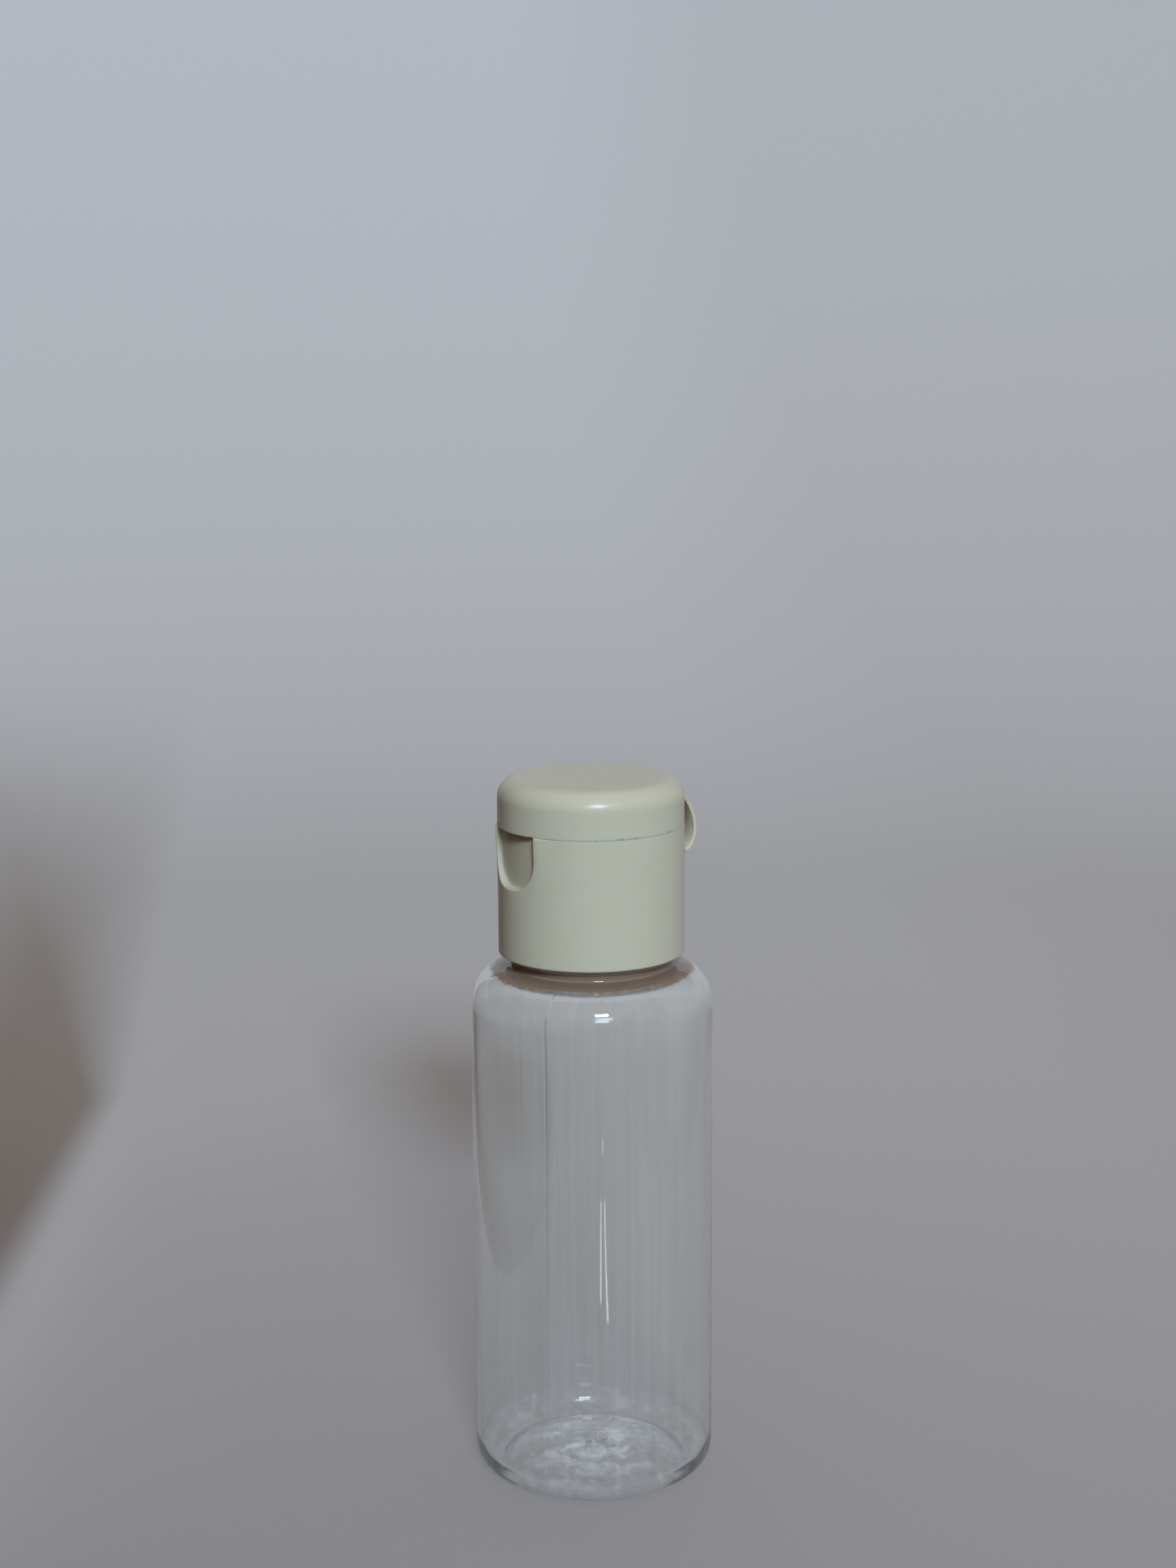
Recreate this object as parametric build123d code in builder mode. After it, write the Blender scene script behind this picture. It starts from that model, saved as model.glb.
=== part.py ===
"""A small clear paint bottle with a white snap-open (flip-top) screw closure.

Frame: +Z up, origin at the centre of the foot, millimetres.  The thumb recess of
the closure faces -Y and the snap hinge faces +Y.
"""

from build123d import *
import os

# ---------------------------------------------------------------- driving dimensions
BODY_RADIUS = 15.4          # blown barrel of the bottle
BODY_WALL = 0.55            # stretched wall of the barrel
HEEL_RADIUS = 3.0           # rounding from the barrel to the foot
SHOULDER_RADIUS = 4.9       # rounding from the barrel to the shoulder
SHOULDER_TOP = 67.2         # height of the shoulder where the neck stands on it

NECK_RADIUS = 8.85          # neck of a 20 mm finish, without its thread
THREAD_CREST = 9.85         # outside radius of the neck thread
BORE_RADIUS = 7.2
FINISH_HEIGHT = 14.8        # shoulder to sealing land
THREAD_PITCH = 3.175        # eight threads to the inch
NECK_THREAD_TURNS = 1.5
CAP_THREAD_TURNS = 1.25

CAP_RADIUS = 11.8           # closure and lid share one outside radius
CAP_FOOT = 68.7             # lower edge of the closure's skirt
PARTING = 85.35             # where lid and closure meet
CAP_TOP = 91.15
PARTING_GAP = 0.08

# ---------------------------------------------------------------- bottle, worked out
LAND = SHOULDER_TOP + FINISH_HEIGHT
BASE_THICKNESS = 0.95
PUSH_UP_RADIUS = 11.0       # rim of the dome pushed up into the foot
PUSH_UP_RIM = 0.8           # how far that rim stands off the table
PUSH_UP_CENTRE = 1.9        # how far the dome's middle stands off the table
FOOT_RADIUS = BODY_RADIUS - HEEL_RADIUS
FOOT_WIDTH = 0.6            # width of the ring that touches the table
SHOULDER_CENTRE_R = BODY_RADIUS - SHOULDER_RADIUS
SHOULDER_CENTRE_Z = SHOULDER_TOP - 0.1 - SHOULDER_RADIUS
RING_RADIUS = 10.4          # bead at the foot of the neck
RING_TOP = 68.35
GATE_RADIUS = 1.1           # moulding gate left under the foot
GATE_HEIGHT = 0.45

# ---------------------------------------------------------------- closure, worked out
WASHER_THICKNESS = 0.8
WASHER_RADIUS = 9.7
WASHER_HOLE = 4.0
DECK_UNDER = LAND + WASHER_THICKNESS
DECK_THICKNESS = 1.2
DECK_TOP = DECK_UNDER + DECK_THICKNESS
SKIRT_BORE = THREAD_CREST + 0.3
CAP_THREAD_CREST = NECK_RADIUS + 0.25
COLLAR_RADIUS = 10.35       # rim that the lid closes over
COLLAR_WALL = 1.0
COLLAR_TOP = PARTING + 1.3
ORIFICE_RADIUS = 1.6
SPOUT_FOOT_RADIUS = 3.2
SPOUT_TIP_RADIUS = 2.5
SPOUT_TOP = PARTING + 1.7
EDGE = 0.35                 # usual broken edge of the mouldings

RECESS_WIDTH = 9.6          # thumb recess
RECESS_BOTTOM = 78.1
RECESS_CORNER = 4.0
RECESS_DEPTH = 1.05

LID_WALL = 1.15
LID_CROWN = 1.2
LID_EDGE_RADIUS = 2.5
PIN_RADIUS = ORIFICE_RADIUS - 0.14
PIN_TIP = SPOUT_TOP - 1.3

# ---------------------------------------------------------------- hinge, worked out
HINGE_Y = CAP_RADIUS + 1.4          # axis of the hinge, outside the wall
LUG_WIDTH = 3.8
LUG_HEIGHT = 1.3
LUG_GAP = 0.15
FILM_THICKNESS = 0.25
FILM_CLEARANCE = 0.04
BAND_INNER_X = 2.8                  # each snap band lies from here ...
BAND_OUTER_X = 5.1                  # ... to here, on both sides of the lugs
BAND_THICKNESS = 0.45
BAND_REACH = CAP_RADIUS + 0.8       # outermost point of the closed band
BAND_MIDDLE = PARTING - 0.6         # the bands sit a little low, more on the closure than on the lid
BAND_HALF_HEIGHT = 3.65
BAND_LID_GAP = 0.06


def thread_ridge(crest, root, height, tip, z_start, turns):
    """Swept trapezoid between the radii root and crest, wound right-handed."""
    with BuildPart() as ridge:
        with BuildLine() as path:
            Helix(THREAD_PITCH, turns * THREAD_PITCH, root, center=(0, 0, z_start))
        with BuildSketch(Plane.XZ.offset(0)) as profile:
            with BuildLine():
                Polyline(
                    (root, z_start - height / 2),
                    (crest, z_start - tip / 2),
                    (crest, z_start + tip / 2),
                    (root, z_start + height / 2),
                    close=True,
                )
            make_face()
        sweep(sections=profile.sketch, path=path.line, is_frenet=True)
    return ridge.part


# ---------------------------------------------------------------- bottle
neck_thread = thread_ridge(
    crest=THREAD_CREST,
    root=NECK_RADIUS - 0.25,
    height=1.9,
    tip=0.7,
    z_start=LAND - 0.95 - 0.95 - NECK_THREAD_TURNS * THREAD_PITCH,
    turns=NECK_THREAD_TURNS,
)

with BuildPart() as bottle:
    with BuildSketch(Plane.XZ) as bottle_outside:
        with BuildLine():
            dome = ThreePointArc(
                (0, PUSH_UP_CENTRE),
                (PUSH_UP_RADIUS / 2, PUSH_UP_CENTRE - 0.28),
                (PUSH_UP_RADIUS, PUSH_UP_RIM),
            )
            Line(dome @ 1, (FOOT_RADIUS - FOOT_WIDTH, 0))
            Line((FOOT_RADIUS - FOOT_WIDTH, 0), (FOOT_RADIUS, 0))
            heel = RadiusArc((FOOT_RADIUS, 0), (BODY_RADIUS, HEEL_RADIUS), -HEEL_RADIUS)
            Line(heel @ 1, (BODY_RADIUS, SHOULDER_CENTRE_Z))
            shoulder = CenterArc(
                (SHOULDER_CENTRE_R, SHOULDER_CENTRE_Z), SHOULDER_RADIUS, 0, 81.5
            )
            Polyline(
                shoulder @ 1,
                (RING_RADIUS, SHOULDER_TOP),
                (RING_RADIUS, RING_TOP),
                (NECK_RADIUS, RING_TOP),
                (NECK_RADIUS, LAND),
                (0, LAND),
                (0, PUSH_UP_CENTRE),
            )
        make_face()
    revolve(axis=Axis.Z)
    add(neck_thread)
    with BuildSketch(Plane.XZ) as bottle_inside:
        inner_radius = BODY_RADIUS - BODY_WALL
        floor_rim = PUSH_UP_RIM + BASE_THICKNESS
        trough = BASE_THICKNESS
        heel_inner = HEEL_RADIUS - BODY_WALL
        with BuildLine():
            inner_dome = ThreePointArc(
                (0, PUSH_UP_CENTRE + BASE_THICKNESS),
                (PUSH_UP_RADIUS / 2, PUSH_UP_CENTRE - 0.28 + BASE_THICKNESS),
                (PUSH_UP_RADIUS, floor_rim),
            )
            Line(inner_dome @ 1, (FOOT_RADIUS - 0.35, trough))
            inner_heel = RadiusArc(
                (FOOT_RADIUS - 0.35, trough),
                (inner_radius, trough + heel_inner + 0.1),
                -heel_inner - 0.15,
            )
            Line(inner_heel @ 1, (inner_radius, SHOULDER_CENTRE_Z))
            inner_shoulder = CenterArc(
                (SHOULDER_CENTRE_R, SHOULDER_CENTRE_Z), SHOULDER_RADIUS - BODY_WALL, 0, 78
            )
            Polyline(
                inner_shoulder @ 1,
                (BORE_RADIUS + 1.1, SHOULDER_TOP - 1.6),
                (BORE_RADIUS, SHOULDER_TOP - 0.3),
                (BORE_RADIUS, LAND + 1),
                (0, LAND + 1),
                (0, PUSH_UP_CENTRE + BASE_THICKNESS),
            )
        make_face()
    revolve(axis=Axis.Z, mode=Mode.SUBTRACT)
    with Locations((0, 0, PUSH_UP_CENTRE - GATE_HEIGHT)):
        Cylinder(
            GATE_RADIUS,
            GATE_HEIGHT + 0.3,
            align=(Align.CENTER, Align.CENTER, Align.MIN),
        )
    ring_edges = bottle.edges().filter_by(GeomType.CIRCLE).filter_by(
        lambda edge: abs(edge.radius - RING_RADIUS) < 0.01
        and abs(edge.center().Z - RING_TOP) < 0.01
    )
    fillet(ring_edges, 0.3)
    land_edges = bottle.edges().filter_by(GeomType.CIRCLE).filter_by(
        lambda edge: abs(edge.center().Z - LAND) < 0.01
    )
    fillet(land_edges, 0.3)
bottle.part.label = "bottle"

# ---------------------------------------------------------------- sealing washer
with BuildPart() as sealing_washer:
    with BuildSketch(Plane.XY.offset(LAND)):
        Circle(WASHER_RADIUS)
        Circle(WASHER_HOLE, mode=Mode.SUBTRACT)
    extrude(amount=WASHER_THICKNESS)
sealing_washer.part.label = "sealing_washer"

# ---------------------------------------------------------------- closure base
cap_thread = thread_ridge(
    crest=CAP_THREAD_CREST,
    root=SKIRT_BORE + 0.25,
    height=1.5,
    tip=0.6,
    z_start=LAND - 0.95 - 0.95 - THREAD_PITCH * (NECK_THREAD_TURNS + 0.5),
    turns=CAP_THREAD_TURNS,
)

with BuildPart() as recess:
    recess_top = PARTING + 6
    with BuildSketch(Plane.XZ.offset(CAP_RADIUS - 3)):
        with Locations((0, (recess_top + RECESS_BOTTOM) / 2)):
            RectangleRounded(RECESS_WIDTH, recess_top - RECESS_BOTTOM, RECESS_CORNER)
    extrude(amount=6)
    Cylinder(
        CAP_RADIUS - RECESS_DEPTH,
        CAP_TOP,
        align=(Align.CENTER, Align.CENTER, Align.MIN),
        mode=Mode.SUBTRACT,
    )
    with Locations((0, 0, PARTING)):
        Cylinder(
            CAP_RADIUS * 2,
            CAP_TOP,
            align=(Align.CENTER, Align.CENTER, Align.MIN),
            mode=Mode.SUBTRACT,
        )

with BuildPart() as closure_base:
    with BuildSketch(Plane.XZ):
        with BuildLine():
            Polyline(
                (ORIFICE_RADIUS, DECK_UNDER),
                (SKIRT_BORE, DECK_UNDER),
                (SKIRT_BORE, CAP_FOOT),
                (CAP_RADIUS, CAP_FOOT),
                (CAP_RADIUS, PARTING),
                (COLLAR_RADIUS, PARTING),
                (COLLAR_RADIUS, COLLAR_TOP),
                (COLLAR_RADIUS - COLLAR_WALL, COLLAR_TOP),
                (COLLAR_RADIUS - COLLAR_WALL - 0.2, DECK_TOP),
                (SPOUT_FOOT_RADIUS, DECK_TOP),
                (SPOUT_TIP_RADIUS, SPOUT_TOP),
                (ORIFICE_RADIUS, SPOUT_TOP),
                close=True,
            )
        make_face()
    revolve(axis=Axis.Z)
    outer_edges = closure_base.edges().filter_by(GeomType.CIRCLE).filter_by(
        lambda edge: abs(edge.radius - CAP_RADIUS) < 0.01
    )
    fillet(outer_edges.sort_by(Axis.Z)[0], EDGE)
    chamfer(outer_edges.sort_by(Axis.Z)[-1], 0.1)
    collar_edges = closure_base.edges().filter_by(GeomType.CIRCLE).filter_by(
        lambda edge: abs(edge.center().Z - COLLAR_TOP) < 0.01
    )
    fillet(collar_edges, EDGE)
    spout_edges = closure_base.edges().filter_by(GeomType.CIRCLE).filter_by(
        lambda edge: abs(edge.center().Z - SPOUT_TOP) < 0.01
    )
    fillet(spout_edges, 0.3)
    add(cap_thread)
    add(recess.part, mode=Mode.SUBTRACT)
    lug_y = (CAP_RADIUS - EDGE * 2 + HINGE_Y) / 2
    lug_length = HINGE_Y - CAP_RADIUS + EDGE * 2
    with Locations((0, lug_y, PARTING - LUG_GAP - LUG_HEIGHT / 2)):
        Box(LUG_WIDTH, lug_length, LUG_HEIGHT)
closure_base.part.label = "closure_base"

# ---------------------------------------------------------------- flip lid
with BuildPart() as flip_lid:
    rim = PARTING + PARTING_GAP
    with BuildSketch(Plane.XZ):
        with BuildLine():
            Polyline(
                (0, PIN_TIP + 0.3),
                (0, CAP_TOP),
                (CAP_RADIUS, CAP_TOP),
                (CAP_RADIUS, rim),
                (CAP_RADIUS - LID_WALL, rim),
                (CAP_RADIUS - LID_WALL, CAP_TOP - LID_CROWN),
                (PIN_RADIUS + 0.25, CAP_TOP - LID_CROWN),
                (PIN_RADIUS, SPOUT_TOP),
                (PIN_RADIUS - 0.35, PIN_TIP),
                (0, PIN_TIP),
                close=True,
            )
        make_face()
    revolve(axis=Axis.Z)
    rim_edges = flip_lid.edges().filter_by(GeomType.CIRCLE).filter_by(
        lambda edge: abs(edge.radius - CAP_RADIUS) < 0.01
    )
    fillet(rim_edges.sort_by(Axis.Z)[-1], LID_EDGE_RADIUS)
    chamfer(rim_edges.sort_by(Axis.Z)[0], 0.1)
    with Locations((0, lug_y - FILM_CLEARANCE, PARTING + LUG_GAP + LUG_HEIGHT / 2)):
        Box(LUG_WIDTH, lug_length, LUG_HEIGHT)
flip_lid.part.label = "flip_lid"

# ---------------------------------------------------------------- hinge film
with BuildPart() as hinge_film:
    with BuildSketch(Plane.YZ):
        with Locations((HINGE_Y, PARTING)):
            Circle(LUG_GAP + FILM_THICKNESS)
            Circle(LUG_GAP, mode=Mode.SUBTRACT)
            Rectangle(1, 2, align=(Align.MAX, Align.CENTER), mode=Mode.SUBTRACT)
    extrude(amount=LUG_WIDTH / 2, both=True)
hinge_film.part.label = "hinge_film"


# ---------------------------------------------------------------- snap bands
def snap_band(side, label):
    """Thin strap that bows out of the wall from the closure up to the lid."""
    root_y = CAP_RADIUS - 1.6
    with BuildPart() as band:
        with BuildSketch(Plane.YZ.offset(side * (BAND_INNER_X + BAND_OUTER_X) / 2)):
            with BuildLine():
                outer = ThreePointArc(
                    (root_y, BAND_MIDDLE - BAND_HALF_HEIGHT),
                    (BAND_REACH, BAND_MIDDLE),
                    (root_y, BAND_MIDDLE + BAND_HALF_HEIGHT),
                )
                inner = ThreePointArc(
                    (root_y, BAND_MIDDLE + BAND_HALF_HEIGHT - BAND_THICKNESS),
                    (BAND_REACH - BAND_THICKNESS, BAND_MIDDLE),
                    (root_y, BAND_MIDDLE - BAND_HALF_HEIGHT + BAND_THICKNESS),
                )
                Line(outer @ 1, inner @ 0)
                Line(inner @ 1, outer @ 0)
            make_face()
        extrude(amount=(BAND_OUTER_X - BAND_INNER_X) / 2, both=True)
        Cylinder(
            CAP_RADIUS,
            PARTING,
            align=(Align.CENTER, Align.CENTER, Align.MIN),
            mode=Mode.SUBTRACT,
        )
        with Locations((0, 0, PARTING)):
            Cylinder(
                CAP_RADIUS + BAND_LID_GAP,
                CAP_TOP - PARTING,
                align=(Align.CENTER, Align.CENTER, Align.MIN),
                mode=Mode.SUBTRACT,
            )
    band.part.label = label
    return band.part


hinge_band_left = snap_band(-1, "hinge_band_left")
hinge_band_right = snap_band(1, "hinge_band_right")

# ---------------------------------------------------------------- export
os.makedirs("parts", exist_ok=True)
for piece in (
    bottle.part,
    sealing_washer.part,
    closure_base.part,
    flip_lid.part,
    hinge_film.part,
    hinge_band_left,
    hinge_band_right,
):
    export_step(piece, f"parts/{piece.label}.step")
    print(piece.label, round(piece.volume, 1), "mm3,", len(piece.solids()), "solid")
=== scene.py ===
# %% [markdown]
# # A flip-top paint bottle
#
# A small clear bottle, blown from PET, with a one-piece ivory closure moulded in polypropylene. The lid
# is a part of that moulding: a thin film lets it turn, and two bowed bands beside the film snap it over.
#
# The measured model that is loaded first holds every dimension and every joint. This file puts finer
# pieces in its place and gives them their materials. Nearly all of them are turned shapes, so one
# Geometry Nodes tree, a lathe, makes the bottle, the closure and the lid.

# %% The frame
import math

import bmesh
import bpy
import numpy as np
from mathutils import Matrix, Vector


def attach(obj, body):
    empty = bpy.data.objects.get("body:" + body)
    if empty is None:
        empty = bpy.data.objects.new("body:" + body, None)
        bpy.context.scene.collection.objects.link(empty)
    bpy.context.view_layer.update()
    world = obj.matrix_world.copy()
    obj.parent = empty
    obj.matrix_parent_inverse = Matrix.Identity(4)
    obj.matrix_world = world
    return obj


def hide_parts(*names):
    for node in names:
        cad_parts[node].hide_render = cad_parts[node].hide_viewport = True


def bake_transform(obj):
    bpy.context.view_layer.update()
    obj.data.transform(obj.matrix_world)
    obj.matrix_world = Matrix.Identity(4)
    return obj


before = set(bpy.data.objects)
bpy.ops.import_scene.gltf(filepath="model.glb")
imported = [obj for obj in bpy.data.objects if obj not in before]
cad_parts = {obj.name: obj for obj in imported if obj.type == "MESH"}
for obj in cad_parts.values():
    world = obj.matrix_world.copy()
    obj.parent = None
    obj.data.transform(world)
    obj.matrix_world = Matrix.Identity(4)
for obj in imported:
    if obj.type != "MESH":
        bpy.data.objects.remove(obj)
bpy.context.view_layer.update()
MM = 0.001

# %% [markdown]
# ## The camera
#
# The bottle stands a third of a metre away and is seen from a little above, with the thumb recess
# turned to the left and the hinge behind it to the right. A camera's matrix holds its own right, up and
# backward directions as columns, so the small turn, tip and roll can be worked out as plain vectors.

# %% The camera
CAMERA_SIDE = math.radians(60)  # how far round from the recess the camera stands
CAMERA_BACK = 337.84 * MM
CAMERA_HEIGHT = 154.6 * MM
CAMERA_PITCH = math.radians(10.8)
CAMERA_YAW = math.radians(-0.0557)
CAMERA_ROLL = math.radians(-0.3168)
CAMERA_LENS = 62.863  # mm, for a sensor 36 mm on its long side


def compass(angle, radius=1.0, height=0.0):
    """A point round the bottle: angle 0 is the side of the recess, and 90 degrees is +X."""
    return Vector((radius * math.sin(angle), -radius * math.cos(angle), height))


def aim(position, forward, roll=0.0):
    """The matrix of a camera or lamp that looks along forward."""
    right = forward.cross(Vector((0, 0, 1))).normalized()
    up = right.cross(forward).normalized()
    turned = Matrix.Rotation(roll, 3, -forward)
    columns = (turned @ right, turned @ up, -forward)
    matrix = Matrix.Identity(4)
    for index, column in enumerate(columns):
        for row in range(3):
            matrix[row][index] = column[row]
    matrix.translation = position
    return matrix


camera_data = bpy.data.cameras.new("camera")
camera_data.lens = CAMERA_LENS
camera_data.sensor_width = 36
camera = bpy.data.objects.new("camera", camera_data)
bpy.context.scene.collection.objects.link(camera)
level = -compass(CAMERA_SIDE - CAMERA_YAW)
forward = (level * math.cos(CAMERA_PITCH) - Vector((0, 0, math.sin(CAMERA_PITCH)))).normalized()
camera.matrix_world = aim(compass(CAMERA_SIDE, CAMERA_BACK, CAMERA_HEIGHT), forward, CAMERA_ROLL)
bpy.context.scene.camera = camera
print("camera at", [round(value / MM, 1) for value in camera.matrix_world.translation], "mm")

# %% [markdown]
# ## Two small helpers
#
# Colours are written as the hex values that a colour picker shows, but a shader mixes light, so they
# have to be made linear first. The other helper adds one node to any tree: its settings are keyword
# arguments, and each input takes either a plain value or the output of another node.

# %% Colour and node helpers
def linear(hex_value):
    """The linear colour, with alpha 1, of an sRGB value such as #c8c8c8."""
    channels = [int(hex_value[i : i + 2], 16) / 255 for i in (1, 3, 5)]
    return (
        *[c / 12.92 if c <= 0.04045 else ((c + 0.055) / 1.055) ** 2.4 for c in channels],
        1.0,
    )


def add_node(tree, kind, inputs=None, **settings):
    """Adds a node. inputs maps a socket's name or number to a value or to another node's output."""
    node = tree.nodes.new(kind)
    for name, value in settings.items():
        setattr(node, name, value)
    for key, value in (inputs or {}).items():
        if isinstance(value, bpy.types.NodeSocket):
            tree.links.new(value, node.inputs[key])
        else:
            node.inputs[key].default_value = value
    return node


print("#808080 is", round(linear("#808080")[0], 3), "of the light of white")

# %% [markdown]
# ## The lathe
#
# A turned shape is a profile carried round an axis. The tree takes the profile as a line of points and
# lays a grid over it, one row for each point and one column for each direction. On the way round it
# adds what a plain lathe can't: the screw thread, which climbs as it goes round, the raised line where
# the halves of the mould met, and the slight unevenness of blown plastic.
#
# Each point of the profile carries its own measures: which way the wall faces there, and how high the
# thread, the mould line and the unevenness may stand. The columns crowd together at the mould line, so
# that it stays sharp without a finer mesh everywhere.

# %% The lathe's inputs and sums
THREAD_PITCH = 3.175  # mm
RAMP_SHARE = 0.06  # of a turn: how quickly the thread's ends rise
WAVE_STRETCH = 0.3  # blown plastic is drawn out along the bottle, and so is its unevenness
WELD = 0.002 * MM
LATHE_INPUTS = (
    ("Columns", "NodeSocketInt", 192),
    ("Crowding", "NodeSocketFloat", 0.0),
    ("Mould Line", "NodeSocketFloat", 0.0),
    ("Line Width", "NodeSocketFloat", 0.1 * MM),
    ("Thread Start", "NodeSocketFloat", 0.0),
    ("Thread Pitch", "NodeSocketFloat", THREAD_PITCH * MM),
    ("Thread Turns", "NodeSocketFloat", 1.0),
    ("Thread Foot", "NodeSocketFloat", 0.9 * MM),
    ("Thread Tip", "NodeSocketFloat", 0.35 * MM),
    ("Wave Scale", "NodeSocketFloat", 120.0),
    ("Material", "NodeSocketMaterial", None),
)
# Each line of sums: a name for the result, the operation, and its terms by name or value.
# The noise needs a place in space, so a plain turned point is worked out first.
EARLY_SUMS = (
    ("circle", "MULTIPLY", "column", 2 * math.pi),
    ("sine early", "SINE", "circle"),
    ("cosine early", "COSINE", "circle"),
    ("x early", "MULTIPLY", "radius", "sine early"),
    ("y early", "MULTIPLY", "radius", "cosine early"),
    ("z early", "MULTIPLY", "height", WAVE_STRETCH),
)
LATHE_SUMS = (
    # the columns crowd together at the mould line
    ("twice", "MULTIPLY", "circle", 2.0),
    ("crowd sine", "SINE", "twice"),
    ("crowd half", "MULTIPLY", "Crowding", 0.5),
    ("crowd shift", "MULTIPLY", "crowd sine", "crowd half"),
    ("from line", "SUBTRACT", "circle", "crowd shift"),
    ("angle", "ADD", "from line", "Mould Line"),
    # the mould line: a bell-shaped ridge on both sides of the bottle
    ("line sine", "SINE", "from line"),
    ("line away", "MULTIPLY", "line sine", "radius"),
    ("line ratio", "DIVIDE", "line away", "Line Width"),
    ("line square", "MULTIPLY", "line ratio", "line ratio"),
    ("line fall", "MULTIPLY", "line square", -1.0),
    ("line bell", "EXPONENT", "line fall"),
    ("line rise", "MULTIPLY", "line bell", "line"),
    # the thread: how far this point is, along the axis, from the nearest turn of the helix
    ("share", "DIVIDE", "angle", 2 * math.pi),
    ("share east", "SUBTRACT", "share", 0.25),
    ("turn share", "FRACT", "share east"),
    ("climb", "SUBTRACT", "height", "Thread Start"),
    ("climb turns", "DIVIDE", "climb", "Thread Pitch"),
    ("turn gap", "SUBTRACT", "climb turns", "turn share"),
    ("turn number", "ROUND", "turn gap"),
    ("turn miss", "SUBTRACT", "turn gap", "turn number"),
    ("turn miss up", "ABSOLUTE", "turn miss"),
    ("axial miss", "MULTIPLY", "turn miss up", "Thread Pitch"),
    ("flank", "SUBTRACT", "Thread Foot", "axial miss"),
    ("flank width", "SUBTRACT", "Thread Foot", "Thread Tip"),
    ("flank ratio", "DIVIDE", "flank", "flank width"),
    ("flank low", "MAXIMUM", "flank ratio", 0.0),
    ("flank even", "MINIMUM", "flank low", 1.0),
    ("turns here", "ADD", "turn number", "turn share"),
    ("start ramp", "DIVIDE", "turns here", RAMP_SHARE),
    ("turns left", "SUBTRACT", "Thread Turns", "turns here"),
    ("end ramp", "DIVIDE", "turns left", RAMP_SHARE),
    ("both ramps", "MINIMUM", "start ramp", "end ramp"),
    ("ramp low", "MAXIMUM", "both ramps", 0.0),
    ("ramp", "MINIMUM", "ramp low", 1.0),
    ("thread shape", "MULTIPLY", "flank even", "ramp"),
    ("thread rise", "MULTIPLY", "thread shape", "thread"),
    # unevenness, then everything together
    ("wave centred", "SUBTRACT", "noise", 0.5),
    ("wave rise", "MULTIPLY", "wave centred", "wave"),
    ("rise", "ADD", "wave rise", "line rise"),
    ("rise out", "MULTIPLY", "rise", "facing out"),
    ("rise up", "MULTIPLY", "rise", "facing up"),
    ("radius risen", "ADD", "radius", "rise out"),
    ("radius full", "ADD", "radius risen", "thread rise"),
    ("height full", "ADD", "height", "rise up"),
    ("sine", "SINE", "angle"),
    ("cosine", "COSINE", "angle"),
    ("x", "MULTIPLY", "radius full", "sine"),
    ("y back", "MULTIPLY", "radius full", "cosine"),
    ("y", "MULTIPLY", "y back", -1.0),
)
print("the lathe works out", len(EARLY_SUMS) + len(LATHE_SUMS), "sums for each point")

# %% [markdown]
# The tree itself is short: a grid with a row for each point of the profile, the profile's measures read
# back row by row, the two tables of sums, and one Set Position that puts every point in its place.

# %% The lathe tree
MEASURES = ("line", "thread", "wave", "facing out", "facing up", "radius", "height")


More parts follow.
